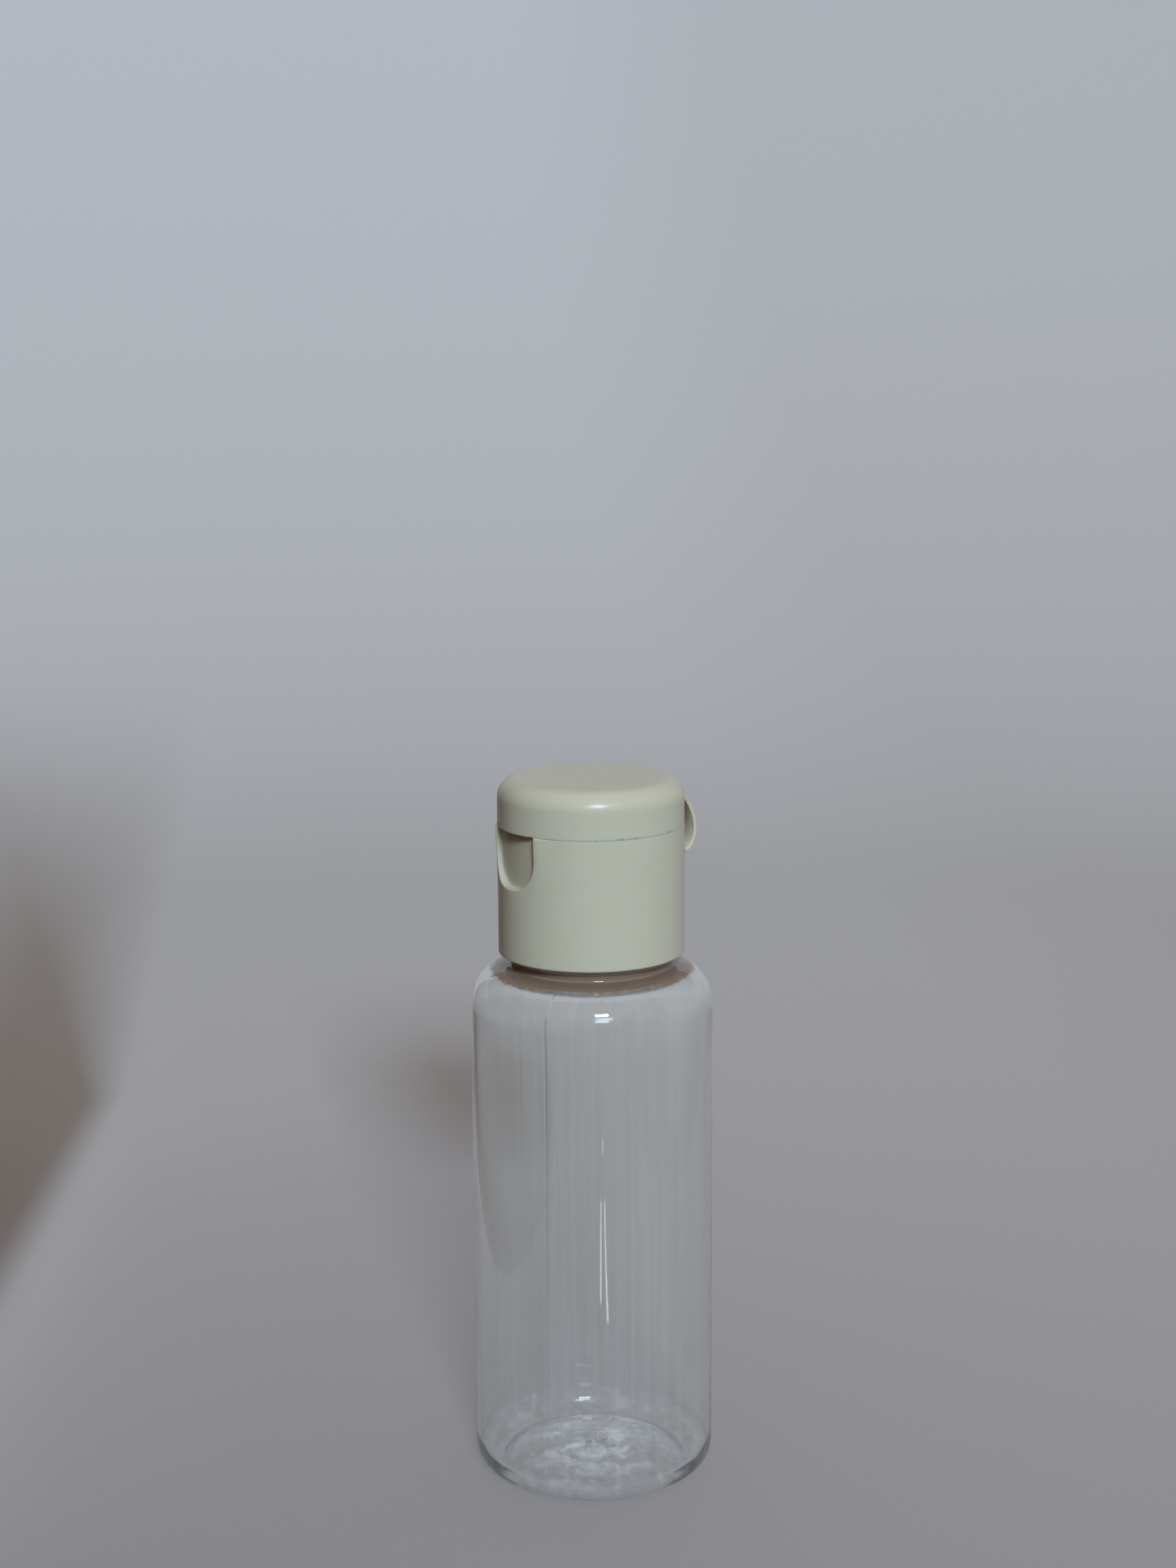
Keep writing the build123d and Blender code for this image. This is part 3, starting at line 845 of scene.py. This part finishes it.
def closure_profile():
    """Anticlockwise round the section, from the orifice's lower edge."""
    rim = CAP_PARTING - STEP
    foot = path(
        [(SKIRT_BORE, 70.0), (SKIRT_BORE, CAP_FOOT + 0.25), (SKIRT_BORE + 0.3, CAP_FOOT),
         (CAP_R - FOOT_BREAK, CAP_FOOT), (CAP_R, CAP_FOOT + FOOT_BREAK), (CAP_R, 70.0)], 0.1)
    top = path(
        [(CAP_R, 84.6), (CAP_R, rim - RIM_BREAK), (CAP_R - RIM_BREAK, rim), (COLLAR_R, rim),
         (COLLAR_R, 86.0), (COLLAR_R + 0.12, 86.2), (COLLAR_R, 86.4), (COLLAR_R - 0.25, COLLAR_TOP),
         (COLLAR_R - 0.75, COLLAR_TOP), (COLLAR_R - 1.0, 86.4), (9.15, DECK_TOP)], 0.1)
    deck = path(
        [(9.15, DECK_TOP), (3.4, DECK_TOP), (3.0, 84.4), (2.5, SPOUT_TOP), (SPOUT_R, SPOUT_TOP),
         (SPOUT_R, 86.6)], 0.18)
    points = run((SPOUT_R, DECK_UNDER), (SKIRT_BORE, DECK_UNDER), 0.7)
    points += run((SKIRT_BORE, DECK_UNDER), (SKIRT_BORE, SKIRT_THREAD_TOP), 0.6)
    points += run((SKIRT_BORE, SKIRT_THREAD_TOP), (SKIRT_BORE, SKIRT_THREAD_LOW), 0.2)
    points += run((SKIRT_BORE, SKIRT_THREAD_LOW), (SKIRT_BORE, 70.0), 0.6)
    points += softened(foot, 1)[:-1]
    points += run((CAP_R, 70.0), (CAP_R, 84.6), 0.4)
    points += softened(top, 1)[:-1]
    points += softened(deck, 2)[:-1]
    points += run((SPOUT_R, 86.6), (SPOUT_R, DECK_UNDER), 0.6)
    return points


print("the closure's profile has", len(closure_profile()), "points")

# %% [markdown]
# ## The thumb recess
#
# The recess is cut with a block whose faces follow the round wall. The block is a stack of outlines,
# each a little further out: rounded into the back, straight through the wall, and wider again outside, so
# that the cut leaves a softly broken edge. The wall beside the recess stands a little proud, where it was
# pulled out with the mould, and the block grows with it.

# %% The recess's cutter
RECESS_HALF, RECESS_LOW, RECESS_CORNER, RECESS_DEPTH = 4.8, 78.1, 4.0, 1.05
RECESS_TOP = 87.0  # above the parting, so that the cut is open there
RECESS_FLATTER = 0.5  # the back is flatter than the wall, so the recess is shallower at its sides
PROUD, PROUD_SIDE, PROUD_WIDTH = 0.24, math.radians(25), math.radians(6)


def proud(angle, height):
    """How far the wall beside the recess stands out, in mm, at an angle round from its middle."""
    side = math.exp(-(((abs(angle) - PROUD_SIDE) / PROUD_WIDTH) ** 2))
    rise = min(1.0, max(0.0, (height - RECESS_LOW + 1.0) / (CAP_PARTING - RECESS_LOW)))
    return PROUD * side * rise**1.5


def recess_outline():
    """Points (across, height) and their outward directions: down one side, round, and up the other."""
    left = RECESS_HALF - RECESS_CORNER
    corner_z = RECESS_LOW + RECESS_CORNER
    outline = [(-RECESS_HALF, z, -1, 0) for z in np.linspace(RECESS_TOP, corner_z, 24)[:-1]]
    for middle, first, last in ((-left, 180, 270), (left, 270, 360)):
        for a in np.radians(np.linspace(first, last, 22)):
            x, z = middle + RECESS_CORNER * math.cos(a), corner_z + RECESS_CORNER * math.sin(a)
            outline.append((x, z, math.cos(a), math.sin(a)))
    return outline + [(RECESS_HALF, z, 1, 0) for z in np.linspace(corner_z, RECESS_TOP, 24)[1:]]


def close_loop(cutter, loop, flatter):
    """Fills a loop with bars from side to side, so that the face follows the round wall."""
    half, last_index = len(loop) // 2, len(loop) - 1
    rows = []
    for i in range(half):
        a, b = loop[i].co, loop[last_index - i].co
        edge_radius = math.hypot(a.x, a.y)
        first, last = math.atan2(a.x, -a.y), math.atan2(b.x, -b.y)
        flat = flatter * (first * CAP_R / RECESS_HALF) ** 2 * MM
        bar = [loop[i]]
        for step in np.linspace(-1, 1, 14)[1:-1]:
            angle = (first + last) / 2 + step * (last - first) / 2
            bar.append(cutter.verts.new(compass(angle, edge_radius - flat * (1 - step**2), a.z)))
        rows.append(bar + [loop[last_index - i]])
    for upper, lower in zip(rows, rows[1:]):
        for i in range(len(upper) - 1):
            cutter.faces.new((upper[i], upper[i + 1], lower[i + 1], lower[i]))
    if len(loop) % 2:
        for one, other in zip(rows[-1], rows[-1][1:]):
            cutter.faces.new((one, other, loop[half]))


def recess_cutter():
    """A block with the recess's outline. Its outline widens outwards, which breaks the edge."""
    floor = CAP_R - RECESS_DEPTH
    rings = [(floor, -0.5), (floor + 0.03, -0.28), (floor + 0.12, -0.12), (floor + 0.3, -0.03),
             (CAP_R - 0.16, 0.0), (CAP_R - 0.05, 0.05), (CAP_R + 0.06, 0.18), (CAP_R + 0.7, 0.9)]
    cutter = bmesh.new()
    loops = []
    for radius, offset in rings:
        loop = []
        for x, z, nx, nz in recess_outline():
            angle = (x + nx * offset) / CAP_R
            height = z + nz * offset
            share = min(1.0, (radius - floor) / RECESS_DEPTH)
            lift = proud(angle, height) * share if radius > floor + 0.2 else 0.0
            lift += (1 - share) * RECESS_FLATTER * (angle * CAP_R / RECESS_HALF) ** 2
            loop.append(cutter.verts.new(compass(angle, (radius + lift) * MM, height * MM)))
        loops.append(loop)
    for inner, outer in zip(loops, loops[1:]):
        for i in range(len(inner) - 1):
            cutter.faces.new((inner[i], inner[i + 1], outer[i + 1], outer[i]))
        cutter.faces.new((inner[-1], inner[0], outer[0], outer[-1]))
    close_loop(cutter, loops[0], RECESS_FLATTER)
    close_loop(cutter, loops[-1], 0.0)
    bmesh.ops.recalc_face_normals(cutter, faces=cutter.faces)
    bmesh.ops.holes_fill(cutter, edges=cutter.edges, sides=0)
    bmesh.ops.recalc_face_normals(cutter, faces=cutter.faces)
    return tool_object("recess cutter", cutter)


def tool_object(name, edited):
    """Turns an edited mesh into an object that a piece is cut or joined with."""
    mesh = bpy.data.meshes.new(name)
    edited.to_mesh(mesh)
    edited.free()
    tool = bpy.data.objects.new(name, mesh)
    bpy.context.scene.collection.objects.link(tool)
    return tool


print("the recess's outline has", len(recess_outline()), "points")

# %% [markdown]
# A Boolean cuts one solid out of another, or joins the two. It needs both of them closed. The lugs that
# the hinge film hangs on are plain blocks with their edges rounded, joined on in the same way.

# %% Blocks, cutting and joining
LUG_ROUNDING = 0.12


def rounded_block(name, low, high, rounding):
    """A block with rounded edges, from its lowest and highest corners in millimetres."""
    block = bmesh.new()
    bmesh.ops.create_cube(block, size=1.0)
    middle = [(a + b) / 2 for a, b in zip(low, high)]
    for vert in block.verts:
        vert.co = Vector([(m + c * (b - a)) * MM for m, c, a, b in zip(middle, vert.co, low, high)])
    bmesh.ops.bevel(block, geom=block.edges, offset=rounding * MM, segments=3, affect="EDGES")
    return tool_object(name, block)


def combine(piece, tool, operation):
    """Cuts a tool out of a piece or joins it on, and gives the new piece."""
    modifier = piece.modifiers.new("combine", "BOOLEAN")
    modifier.operation = operation
    modifier.object = tool
    modifier.solver = "EXACT"
    name = piece.name
    piece.name = name + " rough"
    made = settle(piece, name)
    bpy.data.objects.remove(tool, do_unlink=True)
    return made


def crisp(piece, degrees=32):
    """Makes a piece ivory, and smooth except across edges sharper than an angle."""
    piece.data.shade_smooth()
    piece.data.set_sharp_from_angle(angle=math.radians(degrees))
    piece.data.materials.clear()
    piece.data.materials.append(IVORY)
    for polygon in piece.data.polygons:
        polygon.material_index = 0


trial = rounded_block("trial", (0, 0, 0), (1, 1, 1), LUG_ROUNDING)
print("a rounded block has", len(trial.data.polygons), "faces")
bpy.data.objects.remove(trial, do_unlink=True)

# %% [markdown]
# The closure is turned, its wall is pulled out beside the recess, the recess is cut, and the lug goes on
# at the back. Its thread has a negative height, so it stands inwards from the bore.

# %% The closure
CAP_THREAD_START = LAND - 1.9 - THREAD_PITCH * 2
CAP_THREAD_HEIGHT = SKIRT_BORE - NECK_R - 0.25
HINGE_Y, LUG_HALF, LUG_ROOT_Y = 13.2, 1.9, 11.1


def skirt_thread(r, z):
    """The thread stands on the skirt's bore only."""
    on_bore = abs(r - SKIRT_BORE) < 0.01 and SKIRT_THREAD_LOW < z < SKIRT_THREAD_TOP
    return -CAP_THREAD_HEIGHT if on_bore else 0.0


wall = turn(
    "closure_wall",
    closure_profile(),
    IVORY,
    thread=skirt_thread,
    closed=True,
    **{
        "Columns": 241,
        "Thread Start": CAP_THREAD_START * MM,
        "Thread Turns": 1.25,
        "Thread Foot": 0.75 * MM,
        "Thread Tip": 0.3 * MM,
    },
)
for vertex in wall.data.vertices:
    radius = math.hypot(vertex.co.x, vertex.co.y)
    height = vertex.co.z / MM
    if radius > (CAP_R - 0.4) * MM and height > RECESS_LOW - 1.5:
        angle = math.atan2(vertex.co.x, -vertex.co.y)
        pulled = 1 + proud(angle, height) * MM / radius
        vertex.co.x *= pulled
        vertex.co.y *= pulled
wall = combine(wall, recess_cutter(), "DIFFERENCE")
lug = rounded_block("lug", (-LUG_HALF, LUG_ROOT_Y, 83.9), (LUG_HALF, HINGE_Y, 85.2), LUG_ROUNDING)
wall = combine(wall, lug, "UNION")
crisp(wall)
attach(wall, "closure")
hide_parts("closure_base")
print("closure:", len(wall.data.polygons), "faces")

# %% [markdown]
# ## The lid
#
# A shallow cup with a generously rounded edge. The pin in its middle plugs the spout when the lid is
# down. Its rim has the same small break as the closure's, and the two make the fine groove between
# them.

# %% The lid
LID_RIM = CAP_PARTING - 0.11
LID_BORE, CAP_TOP, CROWN_R = 10.65, 91.15, 2.5


def lid_profile():
    pin = path(
        [(0, 85.75), (1.0, 85.75), (1.3, 86.0), (1.46, 87.05), (1.72, 89.5), (2.1, 89.95), (9.9, 89.95),
         (LID_BORE, 89.2), (LID_BORE, 86.0)], 0.2)
    rim = path(
        [(LID_BORE, 86.0), (LID_BORE, LID_RIM + 0.12), (LID_BORE + 0.1, LID_RIM),
         (CAP_R - RIM_BREAK, LID_RIM), (CAP_R, LID_RIM + RIM_BREAK), (CAP_R, 86.3)], 0.05)
    points = softened(pin, 1)[:-1] + softened(rim, 1)[:-1]
    points += run((CAP_R, 86.3), (CAP_R, CAP_TOP - CROWN_R), 0.3)
    points += arc((CAP_R - CROWN_R, CAP_TOP - CROWN_R), CROWN_R, 0, 90, 0.15)
    points += path([(CAP_R - CROWN_R, CAP_TOP), (6.0, CAP_TOP - 0.015), (0, CAP_TOP - 0.05)], 0.6)
    return points


lid = turn("lid_shell", lid_profile(), IVORY, **{"Columns": 241})
lug = rounded_block("lug", (-LUG_HALF, LUG_ROOT_Y, 85.5), (LUG_HALF, HINGE_Y - 0.04, 86.8), LUG_ROUNDING)
lid = combine(lid, lug, "UNION")
crisp(lid)
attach(lid, "lid")
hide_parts("flip_lid")
print("lid:", len(lid.data.polygons), "faces")

# %% [markdown]
# ## The hinge
#
# The film is folded double when the lid is down. The bands beside it are bowed outwards; opening the
# lid pulls them straight and then lets them bow again, which is the snap. Both cross the joint between
# closure and lid. A band is a flat section carried along a bow, which is what Curve to
# Mesh does; it is a little thicker at its two roots.

# %% The strap tree
BAND_WIDTH, BAND_THICKNESS, STRAP_ROUNDING = 2.3, 0.42, 0.12


def strap_tree():
    tree = bpy.data.node_groups.new("strap", "GeometryNodeTree")
    tree.interface.new_socket("Geometry", in_out="INPUT", socket_type="NodeSocketGeometry")
    sizes = (("Width", BAND_WIDTH * MM), ("Thickness", BAND_THICKNESS * MM), ("Root Growth", 0.35))
    for name, value in sizes:
        socket = tree.interface.new_socket(name, in_out="INPUT", socket_type="NodeSocketFloat")
        socket.default_value = value
    tree.interface.new_socket("Material", in_out="INPUT", socket_type="NodeSocketMaterial")
    tree.interface.new_socket("Geometry", in_out="OUTPUT", socket_type="NodeSocketGeometry")
    given = add_node(tree, "NodeGroupInput").outputs
    bow = add_node(tree, "GeometryNodeMeshToCurve", {"Mesh": given["Geometry"]})
    level = add_node(tree, "GeometryNodeSetCurveNormal", {"Curve": bow.outputs[0]}, mode="FREE")
    level.inputs["Normal"].default_value = (1, 0, 0)
    section = add_node(
        tree,
        "GeometryNodeCurvePrimitiveQuadrilateral",
        {"Width": given["Width"], "Height": given["Thickness"]},
    )
    soft = add_node(
        tree,
        "GeometryNodeFilletCurve",
        {"Curve": section.outputs[0], "Radius": STRAP_ROUNDING * MM, "Count": 3},
        mode="POLY",
    )
    # how far along, from 0 to 1, becomes a scale that is 1 in the middle and grows at both ends
    growth = add_node(tree, "GeometryNodeSplineParameter").outputs["Factor"]
    for operation, *others in (
        ("SUBTRACT", 0.5),
        ("ABSOLUTE",),
        ("MULTIPLY", 2.0),
        ("POWER", 6.0),
        ("MULTIPLY_ADD", given["Root Growth"], 1.0),
    ):
        inputs = dict(enumerate([growth, *others]))
        growth = add_node(tree, "ShaderNodeMath", inputs, operation=operation).outputs[0]
    strip = add_node(
        tree,
        "GeometryNodeCurveToMesh",
        {"Curve": level.outputs[0], "Profile Curve": soft.outputs[0], "Scale": growth, "Fill Caps": True},
    )
    smooth = add_node(tree, "GeometryNodeSetShadeSmooth", {"Geometry": strip.outputs[0]})
    solid = add_node(tree, "GeometryNodeRealizeInstances", {"Geometry": smooth.outputs[0]})
    painted = add_node(
        tree, "GeometryNodeSetMaterial", {"Geometry": solid.outputs[0], "Material": given["Material"]}
    )
    add_node(tree, "NodeGroupOutput", {0: painted.outputs[0]})
    return tree


STRAP = strap_tree()
print("the strap has", len(STRAP.nodes), "nodes")

# %% [markdown]
# The bow's middle is nearer to the closure than to the lid.

# %% The bands and the film
BAND_HALF, BAND_X, BAND_OUTER_X = 3.65, 3.95, 5.1
BAND_MIDDLE = CAP_PARTING - 0.6
BAND_REACH = CAP_R + 0.8
BOW_PEAK = 0.4014  # the greatest value that the bow's rule takes
FILM_THICKNESS, FOLD_R = 0.25, 0.275


def strap(name, points, **sizes):
    """A strap along points in millimetres, as a plain mesh."""
    mesh = bpy.data.meshes.new(name + " line")
    edges = [(i, i + 1) for i in range(len(points) - 1)]
    mesh.from_pydata([Vector(p) * MM for p in points], edges, [])
    return grown(name, mesh, STRAP, {"Material": IVORY, **sizes})


def bend(piece, reach):
    """Bakes a piece's placement into its mesh; it bends nothing, and reach is not used."""
    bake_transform(piece)


root_y = math.sqrt(CAP_R**2 - BAND_OUTER_X**2)
bow = BAND_REACH - 0.22 - root_y
for side, label in ((-1, "hinge_band_left"), (1, "hinge_band_right")):
    points = []
    for t in np.linspace(-1, 1, 61):
        height = math.sin(t * math.pi / 2)
        fall = (1 - height) / 2  # 0 at the lid's root, 1 at the closure's
        out = bow * fall**0.8 * (1 - fall) ** 0.55 / BOW_PEAK
        points.append((side * BAND_X, root_y + out, BAND_MIDDLE + (BAND_HALF - 0.25) * height))
    band = strap("snap_" + label, points)
    crisp(band, 50)
    bend(band, 3.0)
    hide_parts(label)

half_turn = np.radians(np.linspace(-90, 90, 25))
fold = [(0, HINGE_Y + FOLD_R * math.cos(a), CAP_PARTING + FOLD_R * math.sin(a)) for a in half_turn]
fold = [(0, HINGE_Y - 0.1, CAP_PARTING - FOLD_R)] + fold + [(0, HINGE_Y - 0.1, CAP_PARTING + FOLD_R)]
film = strap(
    "folded_film",
    fold,
    **{"Width": (2 * LUG_HALF - 0.3) * MM, "Thickness": FILM_THICKNESS * MM, "Root Growth": 0.0},
)
bend(film, 0.25)
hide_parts("hinge_film")
print("hinge: two bands of", len(band.data.polygons), "faces and a film of", len(film.data.polygons))

# %% [markdown]
# ## The sealing washer
#
# A punched ring of foamed polyethylene. It keeps its measured shape and only needs the look of foam: a
# dull white with pores about a third of a millimetre across.

# %% Material: foamed polyethylene
PORE = 0.35 * MM

FOAM = bpy.data.materials.new("foamed polyethylene")
foam, foam_shader = principled(FOAM)
place = add_node(foam, "ShaderNodeTexCoord").outputs["Object"]
pores = add_node(foam, "ShaderNodeTexVoronoi", {"Vector": place, "Scale": 1 / PORE}).outputs["Distance"]
colour = add_node(
    foam,
    "ShaderNodeMix",
    {"Factor": pores, "A": linear("#eeede6"), "B": linear("#dcdad0")},
    data_type="RGBA",
)
foam.links.new(colour.outputs["Result"], foam_shader.inputs["Base Color"])
foam_shader.inputs["Roughness"].default_value = 0.75
bump = add_node(foam, "ShaderNodeBump", {"Height": pores, "Strength": 0.5, "Distance": 0.04 * MM})
foam.links.new(bump.outputs[0], foam_shader.inputs["Normal"])
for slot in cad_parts["sealing_washer"].material_slots:
    slot.material = FOAM
print("washer: pores", PORE / MM, "mm across")

# %% [markdown]
# ## The studio
#
# A wide bowl of pale paper stands in for the sweep behind the bottle, so that no edge or horizon shows
# from any side. It has no gloss of its own, and its fibres are about a millimetre long.

# %% The paper
PAPER_FLAT, PAPER_CURVE = 0.38, 0.5  # the floor's radius and the radius of the curve up, in metres
PAPER_COLUMNS = 72
FIBRE = 1.1 * MM

PAPER = bpy.data.materials.new("pale grey paper")
sheet, sheet_shader = principled(PAPER)
place = add_node(sheet, "ShaderNodeTexCoord").outputs["Object"]
fibres = add_node(sheet, "ShaderNodeTexNoise", {"Vector": place, "Scale": 1 / FIBRE, "Detail": 3.0})
colour = add_node(
    sheet,
    "ShaderNodeMix",
    {"Factor": fibres.outputs[0], "A": linear("#cdd1d4"), "B": linear("#c9cdd0")},
    data_type="RGBA",
)
sheet.links.new(colour.outputs["Result"], sheet_shader.inputs["Base Color"])
sheet_shader.inputs["Roughness"].default_value = 0.9
sheet_shader.inputs["Specular IOR Level"].default_value = 0.0


def paper_bowl():
    """A round floor that curves up into a wall: rings of points, and one point in the middle."""
    outline = [(r, 0.0) for r in np.linspace(0.05, PAPER_FLAT, 10)]
    for a in np.radians(np.linspace(6, 80, 14)):
        outline.append((PAPER_FLAT + PAPER_CURVE * math.sin(a), PAPER_CURVE * (1 - math.cos(a))))
    round_about = np.linspace(0, 2 * math.pi, PAPER_COLUMNS, endpoint=False)
    verts = [(0, 0, 0)] + [tuple(compass(a, r, z)) for r, z in outline for a in round_about]
    faces = []
    for i in range(PAPER_COLUMNS):
        j = (i + 1) % PAPER_COLUMNS
        faces.append((0, 1 + i, 1 + j))
        for row in range(len(outline) - 1):
            first, second = 1 + row * PAPER_COLUMNS, 1 + (row + 1) * PAPER_COLUMNS
            faces.append((first + i, second + i, second + j, first + j))
    mesh = bpy.data.meshes.new("paper")
    mesh.from_pydata(verts, [], faces)
    mesh.shade_smooth()
    mesh.materials.append(PAPER)
    bowl = bpy.data.objects.new("paper", mesh)
    bpy.context.scene.collection.objects.link(bowl)
    return bowl


paper = paper_bowl()
print("paper:", len(paper.data.polygons), "faces")

# %% [markdown]
# ## The lamps
#
# One soft window in front, a little to the right and above, makes the small highlights and the faint
# shadow to the left; a larger glow round it softens that shadow. The paper has its own copy of the pair, a
# little lower: real paper curves up close behind a small bottle, and the lower lamp puts the shadow where
# that curve would. Light linking gives each lamp the pieces that it lights.

# %% The lamps
LAMP_DISTANCE = 2.2
LAMP_TARGET = Vector((0, 0, 0.05))
OWN_SIDE, OWN_HEIGHT = 11, 33  # degrees round from the camera, and above the floor
PAPER_SIDE, PAPER_HEIGHT = 8.5, 24.5


def lamp_direction(side, height):
    """The way from the bottle to a lamp, whose side is measured from the camera, in degrees."""
    side, height = math.radians(side), math.radians(height)
    return compass(CAMERA_SIDE + side, math.cos(height), math.sin(height))


def lamp(name, side, height, size, power, colour, lit, seen=False):
    """A soft rectangular lamp that faces the bottle and lights only some objects."""
    data = bpy.data.lights.new(name, "AREA")
    data.shape = "RECTANGLE"
    data.size, data.size_y = size
    data.energy = power
    data.color = linear(colour)[:3]
    position = LAMP_TARGET + lamp_direction(side, height) * LAMP_DISTANCE
    made = bpy.data.objects.new(name, data)
    made.matrix_world = aim(position, (LAMP_TARGET - position).normalized())
    made.visible_camera = False
    made.visible_glossy = made.visible_transmission = seen
    group = bpy.data.collections.new(name + " lights")
    for thing in lit:
        group.objects.link(thing)
    made.light_linking.receiver_collection = group
    bpy.context.scene.collection.objects.link(made)


pieces = [thing for thing in bpy.data.objects if thing.type == "MESH" and thing != paper]
lamp("window", OWN_SIDE, OWN_HEIGHT, (0.46, 0.23), 44.5, "#dcefff", pieces, seen=True)
lamp("window glow", OWN_SIDE, OWN_HEIGHT, (1.1, 0.7), 13.5, "#dcefff", pieces)
lamp("paper window", PAPER_SIDE, PAPER_HEIGHT, (0.36, 0.34), 46.5, "#e6f1ff", [paper])
lamp("paper glow", PAPER_SIDE, PAPER_HEIGHT + 3, (1.1, 0.7), 6.0, "#e3f0ff", [paper])
print("lamps light", len(pieces), "objects and the paper")

# %% [markdown]
# ## Cards round the set
#
# What a glossy object shows is its surroundings. A card is a plane that the camera never sees, but that
# shades the set or shows in the gloss. Thin bright strips lie low in front, like the lit edge of a table,
# and only the gloss shows them. A brown card close on the left takes the light off that side, as a dim
# warm room does; it hangs clear of the floor, and only its twin for the gloss comes all the way down.

# %% The cards
CARD_TOP = 0.16
STRIP_WIDTH, STRIP_LIFT = 0.0022, 0.001


def card(name, middle, facing, size, colour, glow=0.0):
    """A card that faces a direction, with its width and height in metres."""
    material = bpy.data.materials.new(name + " card")
    shader = principled(material)[1]
    shader.inputs["Emission Color"].default_value = linear(colour)
    shader.inputs["Emission Strength"].default_value = glow
    shader.inputs["Base Color"].default_value = linear(colour)
    shader.inputs["Roughness"].default_value = 0.9
    mesh = bpy.data.meshes.new(name)
    half_w, half_h = size[0] / 2, size[1] / 2
    corners = [(-half_w, -half_h, 0), (half_w, -half_h, 0), (half_w, half_h, 0), (-half_w, half_h, 0)]
    mesh.from_pydata(corners, [], [(0, 1, 2, 3)])
    mesh.materials.append(material)
    made = bpy.data.objects.new(name, mesh)
    made.matrix_world = aim(middle, -facing.normalized())
    made.visible_camera = False
    made.visible_transmission = False
    bpy.context.scene.collection.objects.link(made)
    return made


for name, side, near, far, skew in (
    ("strip left", 6.9, 0.082, 0.127, 2.0),
    ("strip right", 11.0, 0.074, 0.127, -3.5),
    ("strip far", 9.0, 0.152, 0.160, 0.0),
):
    middle = compass(CAMERA_SIDE + math.radians(side), (near + far) / 2, STRIP_LIFT)
    strip = card(name, middle, Vector((0.0001, 0, 1)), (STRIP_WIDTH, far - near), "#ffffff", glow=5.5)
    turned = Matrix.Rotation(CAMERA_SIDE + math.radians(side + skew), 4, "Z")
    strip.matrix_world = Matrix.Translation(middle) @ turned
    strip.visible_diffuse = strip.visible_shadow = False

left = compass(CAMERA_SIDE - math.radians(90), 0.085)
for name, bottom in (("brown", 0.018), ("brown gloss", 0.001)):
    middle = left + Vector((0, 0, (bottom + CARD_TOP) / 2))
    brown = card(name, middle, -left, (0.24, CARD_TOP - bottom), "#8a4f28")
    brown.visible_glossy = name == "brown gloss"
    brown.visible_diffuse = brown.visible_shadow = name == "brown"

# a flag over the camera shades the paper in front of the bottle
to_window = lamp_direction(PAPER_SIDE, PAPER_HEIGHT)
flag = card("flag", compass(CAMERA_SIDE, 0.15) + to_window * 0.36, -to_window, (0.7, 0.12), "#202020")
flag.matrix_world = flag.matrix_world @ Matrix.Rotation(math.radians(8), 4, "Z")
# a slat in the lamp's way on the right takes a little light off that side of the wall
slat_at = compass(CAMERA_SIDE, 1.0) + compass(CAMERA_SIDE + math.radians(90), 0.315, 0.72)
card("slat", slat_at, -compass(CAMERA_SIDE), (0.03, 0.42), "#202020")

# %% [markdown]
# ## The sky
#
# A faint warm sky fills the rest of the light, as the walls of a room do.

# %% The sky
world = bpy.data.worlds.new("sky")
bpy.context.scene.world = world
world.use_nodes = True
sky = world.node_tree.nodes["Background"]
sky.inputs["Color"].default_value = linear("#ffe5d2")
sky.inputs["Strength"].default_value = 0.28
bpy.context.scene.view_settings.view_transform = "Standard"
print("sky strength", sky.inputs["Strength"].default_value)
